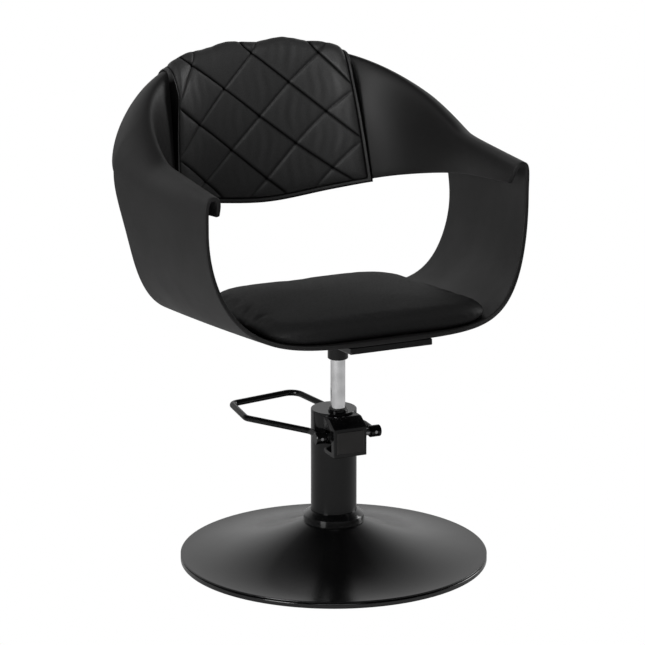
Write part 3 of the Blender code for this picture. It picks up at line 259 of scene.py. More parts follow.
def cover_profile():
    """Trumpet: height = edge + rise * s^1.8, with s from 0 at the rim to 1 at the collar."""
    sheet = 0.0016
    lip_z = cover_low[2] + 0.004
    radius = np.linspace(tube_r + 0.004, base_r - 0.0012, 110)
    share = np.clip((base_r - radius) / (base_r - collar_r), 0.0, 1.0)
    height = lip_z + (cover_high[2] - lip_z) * share ** 1.8
    outer = np.stack([radius, height], axis=1)
    edge = [(base_r - 0.0004, lip_z - 0.0003), (base_r, lip_z - 0.0009),
            (base_r, lip_z - 0.0018), (base_r - 0.0006, lip_z - 0.0026),
            (base_r - 0.0030, lip_z - 0.0032), (base_r - 0.0034, cover_low[2]),
            (base_r - 0.0044, cover_low[2]), (base_r - 0.0042, lip_z - 0.0012)]
    inner = outer[::-1][4:] - (0.0006, sheet)
    return np.concatenate([outer, edge, inner])


add_piece(turned("base_cover", cover_profile(), sides=240), base_satin, "base",
          "satin_black_steel", "base_cover")

rim_low, rim_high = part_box("base_rim")
rim_profile = eased_corners([(base_r, rim_low[2]), (base_r, rim_high[2]),
                             (base_r - 0.005, rim_high[2]), (base_r - 0.005, rim_low[2])],
                            [0.0012, 0.0020, 0.0004, 0.0004])
add_piece(turned("base_rim", rim_profile, sides=240), rim_gloss, "base", "black_rim", "base_rim")
dress(["base_plate"], iron)


# ================================================================ pump
# A thick steel tube is both oil tank and column. A chamfered ring clamps the cover to it and a
# shouldered plug, bored for the rod, closes its top. All are sprayed in gloss black enamel.
enamel = painted_steel("gloss_black_enamel", (0.0030, 0.0030, 0.0032),
                       (0.0048, 0.0048, 0.0050), 0.14, 0.20, 420.0, 0.04, coat=0.10, gloss=0.30)


def metal(name, colour, smooth, rough, scale, depth, stretch=(1.0, 1.0, 1.0)):
    """Bare metal with fine tool marks: noise drawn out along the direction stretch leaves."""
    mat, tree, shader, place = blank_finish(name, metallic=1.0)
    drawn = node_in(tree, "ShaderNodeMapping", (("Vector", place), ("Scale", stretch)))
    marks = node_in(tree, "ShaderNodeGroup", node_tree=COAT_RIPPLE)
    tree.links.new(drawn.outputs["Vector"], marks.inputs["Vector"])
    marks.inputs["Ripple Scale"].default_value = scale
    marks.inputs["Ripple Depth"].default_value = depth
    marks.inputs["Smooth"].default_value = smooth
    marks.inputs["Rough"].default_value = rough
    darker = tuple(0.82 * c for c in colour)
    tree.links.new(cloudy_colour(tree, place, 40.0, darker, colour), shader.inputs["Base Color"])
    tree.links.new(marks.outputs["Roughness"], shader.inputs["Roughness"])
    tree.links.new(marks.outputs["Normal"], shader.inputs["Normal"])
    return mat


steel = metal("zinc_plated_steel", (0.42, 0.42, 0.43), 0.28, 0.42, 900.0, 0.15)
brass = metal("turned_brass", (0.55, 0.42, 0.18), 0.28, 0.42, 900.0, 0.12)

dress(["pump_tube", "cylinder_head", "rod_gland", "pump_flange"], enamel)
dress(["base_collar"], rim_gloss)
dress(["collar_screw", "inner_cylinder", "flange_bolt_1", "flange_bolt_2", "flange_bolt_3",
       "flange_bolt_4", "piston", "pump_plunger"], steel)
dress(["foot_valve", "pump_barrel", "release_valve", "shaft_bush"], brass)


# ================================================================ lever box
# Cast box welded to the front of the tube, with a thin plate on its face and a slot in its
# left side. The castings are ground, filled and enamelled; the plate has a duller coat.
plate_coat = painted_steel("dull_plate_coat", (0.0150, 0.0138, 0.0132),
                           (0.0215, 0.0198, 0.0190), 0.42, 0.52, 1400.0, 0.20)
dress(["lever_box", "pedal_hub_left", "pedal_hub_right"], enamel)
dress(["box_cover"], plate_coat)
dress(["pedal_shaft", "pump_finger", "plunger_spring", "hub_screw_left", "hub_screw_right"],
      steel)


# ================================================================ foot pedal
# One round bar, bent on a former to a lopsided loop behind the column, with both ends pushed
# into the hubs. It is enamelled like the box; its dull wear where shoes meet it is not drawn.
shaft_low, shaft_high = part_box("pedal_shaft")
shaft_y = (shaft_low[1] + shaft_high[1]) / 2
shaft_z = (shaft_low[2] + shaft_high[2]) / 2
shaft_r = (shaft_high[2] - shaft_low[2]) / 2
hub_left_x = sum(v[0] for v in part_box("pedal_hub_left")) / 2
hub_right_x = sum(v[0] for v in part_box("pedal_hub_right")) / 2
PEDAL_TILT = radians(2.5)
PEDAL_R = 0.006


def pedal_path():
    """Corners of the bar as (x, distance back from the shaft), each rounded to its radius.

    A bend is an arc about the centre that lies radius / sin(half the corner) inside it.
    """
    stub = shaft_r + 0.0003
    plan = np.array([(hub_left_x, stub), (hub_left_x - 0.002, 0.042), (-0.136, 0.153),
                     (-0.131, 0.237), (0.012, 0.260), (hub_right_x - 0.001, 0.042),
                     (hub_right_x, stub)])
    path = [plan[:1]]
    for before, here, after, radius in zip(plan, plan[1:], plan[2:],
                                           (0.022, 0.016, 0.014, 0.024, 0.030)):
        back = (before - here) / np.linalg.norm(before - here)
        ahead = (after - here) / np.linalg.norm(after - here)
        half = np.arccos(np.dot(back, ahead)) / 2
        middle = (back + ahead) / np.linalg.norm(back + ahead)
        centre = here + middle * radius / np.sin(half)
        start = here + back * radius / np.tan(half) - centre
        end = here + ahead * radius / np.tan(half) - centre
        bend = pi - 2 * half
        t = np.linspace(0.0, 1.0, 14)[:, None]
        arc = (start * np.sin(bend * (1 - t)) + end * np.sin(bend * t)) / np.sin(bend)
        path.append(centre + arc)
    path.append(plan[-1:])
    return np.concatenate(path)


def pedal_bar():
    """Circle carried along the path: point = path + r (side cos a + up sin a)."""
    flat = pedal_path()
    path = np.stack([flat[:, 0], shaft_y + flat[:, 1] * cos(PEDAL_TILT),
                     shaft_z + flat[:, 1] * sin(PEDAL_TILT)], axis=1)
    run = np.gradient(path, axis=0)
    run /= np.linalg.norm(run, axis=1, keepdims=True)
    up = np.array([0.0, -sin(PEDAL_TILT), cos(PEDAL_TILT)])
    side = np.cross(run, up)
    angle = np.linspace(0.0, 2 * pi, 32, endpoint=False)[None, :, None]
    wall = path[:, None] + PEDAL_R * (side[:, None] * np.cos(angle) + up * np.sin(angle))
    ends = np.repeat(path[[0, -1], None], 32, axis=1)
    return closed_up(grid_mesh("foot_pedal", np.concatenate([ends[:1], wall, ends[1:]]),
                               around=True))


add_piece(pedal_bar(), enamel, "pedal", "gloss_black_enamel", "foot_pedal")


# ================================================================ lift rod
# Ground and hard chromed steel rod that carries the seat. It slides through a raised ring on
# the pump's top, past a rubber wiper lip that keeps dirt out of the oil.
rod_low, rod_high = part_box("piston_rod")
rod_r = (rod_high[0] - rod_low[0]) / 2
rod_y = (rod_low[1] + rod_high[1]) / 2
chrome = metal("hard_chrome", (0.93, 0.93, 0.94), 0.10, 0.16, 500.0, 0.03, (1.0, 1.0, 12.0))
rod_profile = [(0.0, rod_high[2]), (rod_r - 0.001, rod_high[2]), (rod_r, rod_high[2] - 0.001),
               (rod_r, rod_low[2] + 0.001), (rod_r - 0.001, rod_low[2]), (0.0, rod_low[2])]
add_piece(turned("piston_rod", rod_profile, (0.0, rod_y), 96, ring=False), chrome, "seat",
          "polished_rod", "piston_rod")


def black_rubber():
    """Moulded rubber: matt, with a faint grain and dusty clouds."""
    mat, tree, shader, place = blank_finish("black_rubber")
    skin = node_in(tree, "ShaderNodeGroup", node_tree=COAT_RIPPLE)
    tree.links.new(place, skin.inputs["Vector"])
    skin.inputs["Ripple Scale"].default_value = 1500.0
    skin.inputs["Ripple Depth"].default_value = 0.3
    skin.inputs["Smooth"].default_value = 0.62
    skin.inputs["Rough"].default_value = 0.78
    tree.links.new(cloudy_colour(tree, place, 60.0, (0.010, 0.010, 0.010),
                                 (0.020, 0.020, 0.020)), shader.inputs["Base Color"])
    tree.links.new(skin.outputs["Roughness"], shader.inputs["Roughness"])
    tree.links.new(skin.outputs["Normal"], shader.inputs["Normal"])
    return mat


rubber = black_rubber()
dress(["wiper_seal", "piston_ring"], rubber)


# ================================================================ seat bracket
# Folded steel tray bolted under the shell. The sleeve welded below it, stiffened by two ribs
# and locked by a screw, drops over the rod. Tray and sleeve share one black enamel.
dress(["seat_bracket", "rod_socket", "socket_gusset_left", "socket_gusset_right"], enamel)
dress(["socket_screw", "bracket_bolt_1", "bracket_bolt_2", "bracket_bolt_3",
       "bracket_bolt_4"], steel)


# ================================================================ seat shell
# One sheet of structural plastic, 8 mm thick, moulded in a single piece: floor, side panels,
# rolled arms and a band across the back. Its skin is a fine, even satin grain.
SHELL_T = 0.008
SEAT_TILT = radians(5.0)
SEAT_Z = 0.4780
SEAT_FRONT_Y, SEAT_REAR_Y = -0.262, 0.212
ARM_Z = 0.7876
BEND_Y, BACK_Y = 0.040, 0.412
ROLL_R = 0.016
PANEL_END = 0.51
BAND_Z = ((0.0, 0.745), (0.30, 0.713), (0.60, 0.672), (0.80, 0.647), (1.0, 0.633))
LIP_OUT = ((0.0, 0.015), (0.30, 0.040), (0.51, 0.067), (0.60, 0.067), (0.70, 0.056),
           (0.80, 0.043), (1.0, 0.028))
LIP_DROP = ((0.0, 0.068), (0.51, 0.096), (0.60, 0.094), (0.70, 0.066), (0.80, 0.040),
            (1.0, 0.024))


def eased(stations, s):
    """Cubic Hermite curve through (place, value) stations, level at the last of them."""
    places, values = np.array(stations).T
    slopes = np.gradient(values, places)
    slopes[-1] = 0.0
    k = np.clip(np.searchsorted(places, s, side="right") - 1, 0, len(places) - 2)
    span = places[k + 1] - places[k]
    t = (s - places[k]) / span
    return ((2 * t ** 3 - 3 * t ** 2 + 1) * values[k] + (3 * t ** 2 - 2 * t ** 3) * values[k + 1]
            + span * ((t ** 3 - 2 * t ** 2 + t) * slopes[k] + (t ** 3 - t ** 2) * slopes[k + 1]))


def wrap_plan(s, tip, half_w, back_y, power):
    """Plan of one arm and half the back, evenly spaced: a straight run from the tip, then
    x = half_w cos^(2/power) a, y = bend + (back - bend) sin^(2/power) a."""
    angle = np.linspace(0.0, pi / 2, 1200)
    x = np.concatenate([[tip[0]], half_w * np.cos(angle) ** (2.0 / power)])
    y = np.concatenate([[tip[1]], BEND_Y + (back_y - BEND_Y) * np.sin(angle) ** (2.0 / power)])
    along = np.concatenate([[0.0], np.cumsum(np.hypot(np.diff(x), np.diff(y)))])
    return np.interp(along[-1] * s, along, x), np.interp(along[-1] * s, along, y)


def seat_plane_z(y):
    return SEAT_Z + (rod_y - y) * np.tan(SEAT_TILT)


def crest(s):
    """Top line: level along the arms, then z = arm + 0.191 (past + sqrt(past^2 + 0.02^2))."""
    x, y = wrap_plan(s, (0.313, -0.165), 0.306, BACK_Y, 2.5)
    past = y - 0.090
    return np.stack([x, y, ARM_Z + 0.191 * (past + np.sqrt(past ** 2 + 0.020 ** 2))], axis=-1)


def outward(s):
    """Level direction square to the crest: (dy, -dx, 0) of the crest, made unit length."""
    run = crest(np.minimum(s + 0.004, 1.0)) - crest(np.maximum(s - 0.004, 0.0))
    side = np.stack([run[:, 1], -run[:, 0], 0 * run[:, 0]], axis=-1)
    side[s >= 1.0] = (0.0, 1.0, 0.0)
    return side / np.linalg.norm(side, axis=-1, keepdims=True)


def free_lip(s):
    """Lower edge of the outer strip: crest + out * outward - drop * up."""
    place = crest(s) + outward(s) * eased(LIP_OUT, s)[:, None]
    place[:, 2] -= eased(LIP_DROP, s)
    return place


lip_corner = free_lip(np.array([PANEL_END]))[0]


def panel_section(u):
    """Half width, height and power of the side section at u: 0 front edge, 1 rear edge."""
    width = 0.328 + (lip_corner[0] - 0.328) * (1 - (1 - u) ** 2)
    front_h = ARM_Z - LIP_DROP[0][1] - seat_plane_z(SEAT_FRONT_Y + 0.101)
    rear_h = lip_corner[2] - seat_plane_z(lip_corner[1])
    return width, front_h + (rear_h - front_h) * u, 5.5 + 1.9 * u


def side_panel(u, turn):
    """Floor and side: x = width sin^(2/power), z = seat plane + height (1 - cos)."""
    width, height, power = panel_section(u)
    up = np.sin(turn)
    front = SEAT_FRONT_Y + 0.101 * up
    rear_dip = 0.022
    flare = lip_corner[1] - SEAT_REAR_Y + rear_dip
    rear = SEAT_REAR_Y - rear_dip * up * (2 - up) + flare * up ** 20
    y = front + (rear - front) * u
    z = seat_plane_z(y) + height * (1 - np.cos(turn))
    return np.stack([width * up ** (2.0 / power), y, z], axis=-1)


def bezier(a, b, c, d, t):
    return a * (1 - t) ** 3 + 3 * b * t * (1 - t) ** 2 + 3 * c * t ** 2 * (1 - t) + d * t ** 3


def back_band(s, v):
    """Strip over the crest: v -1 at the band's lower edge, 0 at the crest, 1 at the lip.

    Each half is a cubic curve that leaves the crest level, along the outward direction.
    """
    top, out, up = crest(s), outward(s), np.array([0.0, 0.0, 1.0])
    if v <= 0:
        x, y = wrap_plan(s, (0.292, -0.144), 0.299, BACK_Y - 0.096, 2.75)
        low = np.stack([x, y, eased(BAND_Z, s)], axis=-1)
        inner = top - out * ROLL_R - up * ROLL_R
        return bezier(low, low + 0.72 * (inner - low), top - out * ROLL_R * 1.2, top, v + 1)
    on_panel = side_panel(np.minimum(s / PANEL_END, 1.0), np.full_like(s, pi / 2))
    lip = np.where((s <= PANEL_END)[:, None], on_panel, free_lip(s))
    upright = np.clip((1.0 - s) / (1.0 - PANEL_END), 0.0, 1.0)[:, None]
    slant = (top + out * ROLL_R - lip) * 0.55
    stand = up * (0.62 * (top[:, 2:] - lip[:, 2:]))
    near_lip = lip + slant + (stand - slant) * upright
    return bezier(top, top + out * ROLL_R * 1.2, near_lip, lip, v)


def moulded_shell():
    """Band and lip over the whole crest, joined at the arms to the panels and the floor."""
    arm = np.linspace(0.0, PANEL_END, 61)
    back = np.linspace(PANEL_END, 1.0, 55)[1:]
    stations = np.concatenate([arm, back])
    heights = np.concatenate([np.linspace(-1.0, 0.0, 33), np.linspace(0.0, 1.0, 29)[1:]])
    strip = np.stack([back_band(stations, v) for v in heights])
    turns = (pi / 2) * np.linspace(1.0, 0.0, 73) ** 1.35
    floor = np.stack([side_panel(arm / PANEL_END, np.full_like(arm, t)) for t in turns])
    floor[-1, :, 0] = 0.0
    strip[:, -1, 0] = 0.0
    upper = grid_mesh("strip", strip)
    lower = grid_mesh("floor", floor)
    shape = bmesh.new()
    shape.from_mesh(upper)
    shape.from_mesh(lower)
    half = bmesh.ops.duplicate(shape, geom=shape.verts[:] + shape.edges[:] + shape.faces[:])
    copied = [g for g in half["geom"] if isinstance(g, bmesh.types.BMVert)]
    bmesh.ops.scale(shape, vec=(-1.0, 1.0, 1.0), verts=copied)
    bmesh.ops.remove_doubles(shape, verts=shape.verts, dist=2e-5)
    bmesh.ops.recalc_face_normals(shape, faces=shape.faces)
    seat_middle = Vector((0, 0, SEAT_Z))
    middle = min(shape.faces, key=lambda f: (f.calc_center_median() - seat_middle).length)
    if middle.normal.z > 0:
        bmesh.ops.reverse_faces(shape, faces=shape.faces)
    mesh = bpy.data.meshes.new("seat_shell")
    shape.to_mesh(mesh)
    shape.free()
    mesh.shade_smooth()
    return mesh


def satin_plastic():
    """Moulded plastic: fine spark-eroded grain, faint flow clouds and a slightly worn sheen."""
    mat, tree, shader, place = blank_finish("satin_black_plastic")
    grain = node_in(tree, "ShaderNodeTexVoronoi", (("Vector", place), ("Scale", 1300.0)))
    flow = node_in(tree, "ShaderNodeTexNoise", (("Vector", place), ("Scale", 6.0),
                                                ("Detail", 3.0)))
    skin = node_in(tree, "ShaderNodeGroup", node_tree=COAT_RIPPLE)
    tree.links.new(place, skin.inputs["Vector"])
    skin.inputs["Ripple Scale"].default_value = 160.0
    skin.inputs["Ripple Depth"].default_value = 0.04
    skin.inputs["Cloud Scale"].default_value = 7.0
    skin.inputs["Smooth"].default_value = 0.46
    skin.inputs["Rough"].default_value = 0.54
    bump = node_in(tree, "ShaderNodeBump", (("Height", grain.outputs["Distance"]),
                                            ("Normal", skin.outputs["Normal"]),
                                            ("Strength", 0.10), ("Distance", 0.0004)))
    tone = node_in(tree, "ShaderNodeMix", (("Factor", flow.outputs["Fac"]),), data_type="RGBA")
    tone.inputs[6].default_value = (0.0105, 0.0102, 0.0103, 1.0)
    tone.inputs[7].default_value = (0.0140, 0.0136, 0.0138, 1.0)
    shader.inputs["Specular IOR Level"].default_value = 0.33
    tree.links.new(tone.outputs[2], shader.inputs["Base Color"])
    tree.links.new(skin.outputs["Roughness"], shader.inputs["Roughness"])
    tree.links.new(bump.outputs["Normal"], shader.inputs["Normal"])
    return mat


shell = add_piece(moulded_shell(), satin_plastic(), "seat", "black_shell", "seat_shell")
wall = shell.modifiers.new("wall", "SOLIDIFY")
wall.thickness = SHELL_T
wall.offset = -1.0
wall.use_even_offset = True
rim = shell.modifiers.new("rounded_rim", "BEVEL")
rim.width = 0.0016
rim.segments = 3
rim.limit_method = "ANGLE"
rim.angle_limit = radians(60.0)


# ================================================================ seat cushion
# Foam on a plywood board, wrapped in one piece of smooth leatherette pulled tight and stapled
# under the board. It lies in the shell's floor and is held by bolts from below.
CUSHION_FRONT, CUSHION_REAR = -0.240, 0.212
CUSHION_HALF_W = 0.218
CUSHION_H = 0.054
CUSHION_GAP = 0.0012
SEAT_FRAME = Matrix.Translation((0.0, rod_y, SEAT_Z)) @ Matrix.Rotation(-SEAT_TILT, 4, "X")


def cushion_floor(x, y):
    """Shell's inner face in the tilted frame: height (1 - sqrt(1 - sine^2)) plus its wall."""
    u = np.clip((y + rod_y - SEAT_FRONT_Y) / (SEAT_REAR_Y - SEAT_FRONT_Y), 0.0, 1.0)
    half, height, power = panel_section(u)
    sine = (np.abs(x) / half) ** (power / 2)
    root = np.sqrt(np.maximum(1 - sine ** 2, 1e-6))
    slope = height * sine ** 2 * (power / 2) / np.maximum(np.abs(x), 0.001) / root
    return height * (1 - root) + SHELL_T * np.sqrt(1 + slope ** 2) + CUSHION_GAP


def cushion_outline(angle, share):
    """Superellipse of power 6, wider in front: x = share (half - 0.085 y) cos^(1/3)."""
    middle = (CUSHION_FRONT + CUSHION_REAR) / 2
    half_l = (CUSHION_REAR - CUSHION_FRONT) / 2
    y = middle + share * half_l * np.abs(np.sin(angle)) ** (1 / 3) * np.sign(np.sin(angle))
    half_w = CUSHION_HALF_W - 0.085 * y
    return share * half_w * np.abs(np.cos(angle)) ** (1 / 3) * np.sign(np.cos(angle)), y


def cushion_body(slack):
    """Closed form: crowned top, quarter-round edge of 18 mm, underside on the shell's floor."""
    angle = np.linspace(0.0, 2 * pi, 240, endpoint=False)
    edge = 0.9 + 0.1 * np.sin(np.linspace(0, pi / 2, 9)[1:])
    top = np.concatenate([np.linspace(0.0, 0.9, 22), edge])
    low = np.concatenate([[0.992, 0.975, 0.95], np.linspace(0.90, 0.0, 16)])
    rows = []
    for share in top:
        x, y = cushion_outline(angle, share * slack)
        inset = np.clip((share - 0.90) / 0.10, 0.0, 1.0)
        height = CUSHION_H - 0.010 * share ** 2 - 0.018 * (1 - np.sqrt(1 - inset ** 2))
        rows.append(np.stack([x, y, np.maximum(height, cushion_floor(x, y) + 0.004)], axis=-1))
    for share in low:
        x, y = cushion_outline(angle, share * slack)
        lift = 0.010 * np.clip((share - 0.94) / 0.06, 0.0, 1.0) ** 2
        rows.append(np.stack([x, y, cushion_floor(x, y) + lift], axis=-1))
    return closed_up(grid_mesh("seat_cushion", np.stack(rows), around=True))


def applied(piece):
    """The piece's mesh with its modifiers worked in."""
    seen = piece.evaluated_get(bpy.context.evaluated_depsgraph_get())
    mesh = bpy.data.meshes.new_from_object(seen)
    piece.modifiers.clear()
    return mesh


def vertex_places(mesh):
    places = np.empty(3 * len(mesh.vertices))
    mesh.vertices.foreach_get("co", places)
    return places.reshape(-1, 3)


def inflated(mesh, voxel, pressure, reach):
    """Remeshed, then blown up as cloth for 20 frames; no point moves further than reach."""
    blank = bpy.data.objects.new("blank", mesh)
    bpy.context.scene.collection.objects.link(blank)
    even = blank.modifiers.new("even", "REMESH")
    even.mode = "VOXEL"
    even.voxel_size = voxel
    mesh = applied(blank)
    blank.data = mesh
    start = vertex_places(mesh)
    cloth = blank.modifiers.new("cloth", "CLOTH")
    cloth.settings.use_pressure = True
    cloth.settings.uniform_pressure_force = pressure
    cloth.settings.effector_weights.gravity = 0.0
    cloth.point_cache.frame_start = 1
    cloth.point_cache.frame_end = 20
    for step in range(1, 21):
        bpy.context.scene.frame_set(step)
    blown = vertex_places(applied(blank))
    bpy.context.scene.frame_set(1)
    bpy.data.objects.remove(blank)
    move = blown - start
    length = np.linalg.norm(move, axis=1, keepdims=True)
    move *= np.minimum(1.0, reach / np.maximum(length, 1e-9))
    return mesh, start, move


def seat_cushion():
    """The blown cover, kept off the shell below, then laid into the tilted seat."""
    mesh = cushion_body(0.985)
    mesh, start, move = inflated(mesh, 0.0055, 4.0, 0.0045)
    place = start + move
    floor = cushion_floor(place[:, 0], place[:, 1])
    place[:, 2] = np.maximum(place[:, 2], floor + 0.0002)
    mesh.vertices.foreach_set("co", place.ravel())
    mesh.transform(SEAT_FRAME)
    mesh.shade_smooth()
    mesh.name = "seat_cushion"
    return mesh


def leather_grain_group():
    """Embossed leatherette: pebbles between creases, as a normal and a mask of the creases."""
    group, given, made = shader_group(
        "leather_grain",
        (("Vector", "NodeSocketVector", None), ("Pebble Scale", "NodeSocketFloat", 420.0),
         ("Depth", "NodeSocketFloat", 0.3), ("Crease Scale", "NodeSocketFloat", 35.0),
         ("Crease Depth", "NodeSocketFloat", 0.1)),
        (("Crease", "NodeSocketFloat"), ("Normal", "NodeSocketVector")))
    warp = node_in(group, "ShaderNodeTexNoise", (("Vector", given.outputs["Vector"]),
                                                 ("Scale", 90.0), ("Detail", 2.0)))
    shifted = node_in(group, "ShaderNodeMix", (("Factor", 0.004),), data_type="VECTOR")
    group.links.new(given.outputs["Vector"], shifted.inputs[4])
    group.links.new(warp.outputs["Color"], shifted.inputs[5])
    pebbles = node_in(group, "ShaderNodeTexVoronoi",
                      (("Vector", shifted.outputs[1]),
                       ("Scale", given.outputs["Pebble Scale"])), feature="DISTANCE_TO_EDGE")
    dome = node_in(group, "ShaderNodeMapRange",
                   (("Value", pebbles.outputs["Distance"]), ("From Max", 0.25)))
    folds = node_in(group, "ShaderNodeTexNoise",
                    (("Vector", given.outputs["Vector"]),
                     ("Scale", given.outputs["Crease Scale"]), ("Detail", 4.0),
                     ("Distortion", 0.4)))
    soft = node_in(group, "ShaderNodeBump", (("Height", folds.outputs["Fac"]),
                                             ("Strength", given.outputs["Crease Depth"]),
                                             ("Distance", 0.004)))
    fine = node_in(group, "ShaderNodeBump", (("Height", dome.outputs["Result"]),
                                             ("Normal", soft.outputs["Normal"]),
                                             ("Strength", given.outputs["Depth"]),
                                             ("Distance", 0.0003)))
    group.links.new(dome.outputs["Result"], made.inputs["Crease"])
    group.links.new(fine.outputs["Normal"], made.inputs["Normal"])
    return group


LEATHER_GRAIN = leather_grain_group()


def leatherette(name, dark, light, smooth, rough, depth, crease_depth, sheen, gloss):
    """Black coated cloth: darker in the creases of its grain, a painted shade, and glossier on
    the pebble tops.

    A 0 to 1 mask attribute on the mesh paints shade: where it is 1 the colour is almost black
    and the specular is nearly gone.
    """
    mat, tree, shader, place = blank_finish(name)
    grain = node_in(tree, "ShaderNodeGroup", node_tree=LEATHER_GRAIN)
    tree.links.new(place, grain.inputs["Vector"])
    grain.inputs["Depth"].default_value = depth
    grain.inputs["Crease Depth"].default_value = crease_depth
    # Painted shade: the colour darkens into the creases of the grain.
    tone = node_in(tree, "ShaderNodeMix", (("Factor", grain.outputs["Crease"]),),
                   data_type="RGBA")
    tone.inputs[6].default_value = (*dark, 1.0)
    tone.inputs[7].default_value = (*light, 1.0)
    shine = node_in(tree, "ShaderNodeMapRange",
                    (("Value", grain.outputs["Crease"]), ("To Min", rough),
                     ("To Max", smooth)))
    # Painted shade from the mesh's mask attribute: near black, with the specular turned down.
    shade_mask = node_in(tree, "ShaderNodeAttribute", attribute_name="painted_shade")
    shaded_tone = node_in(tree, "ShaderNodeMix", (("Factor", shade_mask.outputs["Fac"]),), data_type="RGBA")
    shaded_tone.inputs[7].default_value = (0.0008, 0.0008, 0.0008, 1.0)
    tree.links.new(tone.outputs[2], shaded_tone.inputs[6])
    shade_dulled_specular = node_in(tree, "ShaderNodeMapRange", (("Value", shade_mask.outputs["Fac"]),
                                                 ("To Min", gloss), ("To Max", 0.02)))
    tree.links.new(shade_dulled_specular.outputs["Result"], shader.inputs["Specular IOR Level"])
    shader.inputs["Sheen Weight"].default_value = sheen
    shader.inputs["Sheen Roughness"].default_value = 0.5
    tree.links.new(shaded_tone.outputs[2], shader.inputs["Base Color"])
    tree.links.new(shine.outputs["Result"], shader.inputs["Roughness"])
    tree.links.new(grain.outputs["Normal"], shader.inputs["Normal"])
    return mat


seat_leather = leatherette("smooth_leatherette", (0.0120, 0.0120, 0.0122),
                           (0.0175, 0.0175, 0.0177), 0.48, 0.64, 0.20, 0.05, 0.01, 0.11)
cushion = add_piece(seat_cushion(), seat_leather, "seat", "black_leatherette", "seat_cushion")
soft = cushion.modifiers.new("soft", "SUBSURF")
soft.levels = 1
soft.render_levels = 1


def plywood():
    """Birch ply: pale veneer with long grain lines along the board."""
    mat, tree, shader, place = blank_finish("birch_plywood")
    drawn = node_in(tree, "ShaderNodeMapping", (("Vector", place), ("Scale", (60.0, 4.0, 60.0))))
    figure = node_in(tree, "ShaderNodeTexNoise", (("Vector", drawn.outputs["Vector"]),
                                                  ("Scale", 1.0), ("Detail", 8.0)))
    ramp = node_in(tree, "ShaderNodeValToRGB", (("Fac", figure.outputs["Fac"]),))
    ramp.color_ramp.elements[0].color = (0.30, 0.19, 0.10, 1.0)
    ramp.color_ramp.elements[1].color = (0.52, 0.38, 0.22, 1.0)
    bump = node_in(tree, "ShaderNodeBump", (("Height", figure.outputs["Fac"]),
                                            ("Strength", 0.2), ("Distance", 0.0005)))
    tree.links.new(ramp.outputs["Color"], shader.inputs["Base Color"])
    tree.links.new(bump.outputs["Normal"], shader.inputs["Normal"])
    shader.inputs["Roughness"].default_value = 0.65
    return mat


dress(["seat_board"], plywood())


# ================================================================ back pad
# Front half of a slip-on cover: leatherette over wadding, quilted in diamonds, with a flat
# sewn hem round its edge. It lies on the band, from just under its lower edge to the crest.
PAD_GAP = 0.0012
PAD_DROP = 0.006
HEM_W, HEM_T = 0.0095, 0.0040
FILL_T = 0.0092
DIAMOND_W, DIAMOND_H = 0.138, 0.121
DIAMOND_Y = 0.160
EDGE_ROUND = 0.0030
BRIDGE_H, BRIDGE_W = 0.016, 0.075
PUCKER_H, PUCKER_L = 0.00060, 0.029
CREST_WAVE_H, CREST_WAVE_L = 0.0028, 0.11


def pad_half_width(v):
    return 0.188 + 0.017 * min(max(-v, 0.0), 1.0)


def laid_sheet(shares, heights):
    """Band surface between the pad's side edges: s = start + (1 - start) share, both halves."""
    fine = np.linspace(PANEL_END, 1.0, 400)
    rows = []
    for v in heights:
        start = np.interp(-pad_half_width(v), -back_band(fine, v)[:, 0], fine)
        rows.append(back_band(start + (1.0 - start) * shares, v))
    right = np.stack(rows)
    right[:, -1, 0] = 0.0
    return np.concatenate([right, right[:, -2::-1] * (-1.0, 1.0, 1.0)], axis=1)


def sheet_normals(points):
    """Unit cross product of the steps up and across, turned to face the sitter at the foot."""
    normal = np.cross(np.gradient(points, axis=0), np.gradient(points, axis=1))
    normal /= np.linalg.norm(normal, axis=-1, keepdims=True)
    return normal if normal[0, :, 1].mean() < 0 else -normal


def sheet_lengths(points):
    """Distance across from the centre line, and up from the lower edge, over the surface."""
    across = np.linalg.norm(np.diff(points, axis=1), axis=-1).cumsum(axis=1)
    across = np.concatenate([np.zeros((len(points), 1)), across], axis=1)
    middle = points.shape[1] // 2
    across -= across[:, [middle]]
    up = np.linalg.norm(np.diff(points[:, middle], axis=0), axis=-1).cumsum()
    return across, np.concatenate([[0.0], up])[:, None] + 0.0 * across


def quilting(across, up):
    """Distances to the two families of seams, where across / W +- up / H is a whole number."""
    steep = np.hypot(1.0 / DIAMOND_W, 1.0 / DIAMOND_H)
    rising = across / DIAMOND_W - (up - DIAMOND_Y) / DIAMOND_H
    falling = across / DIAMOND_W + (up - DIAMOND_Y) / DIAMOND_H
    to_rising = np.abs(rising - np.round(rising)) / steep
    to_falling = np.abs(falling - np.round(falling)) / steep
    return to_rising, to_falling, rising, falling


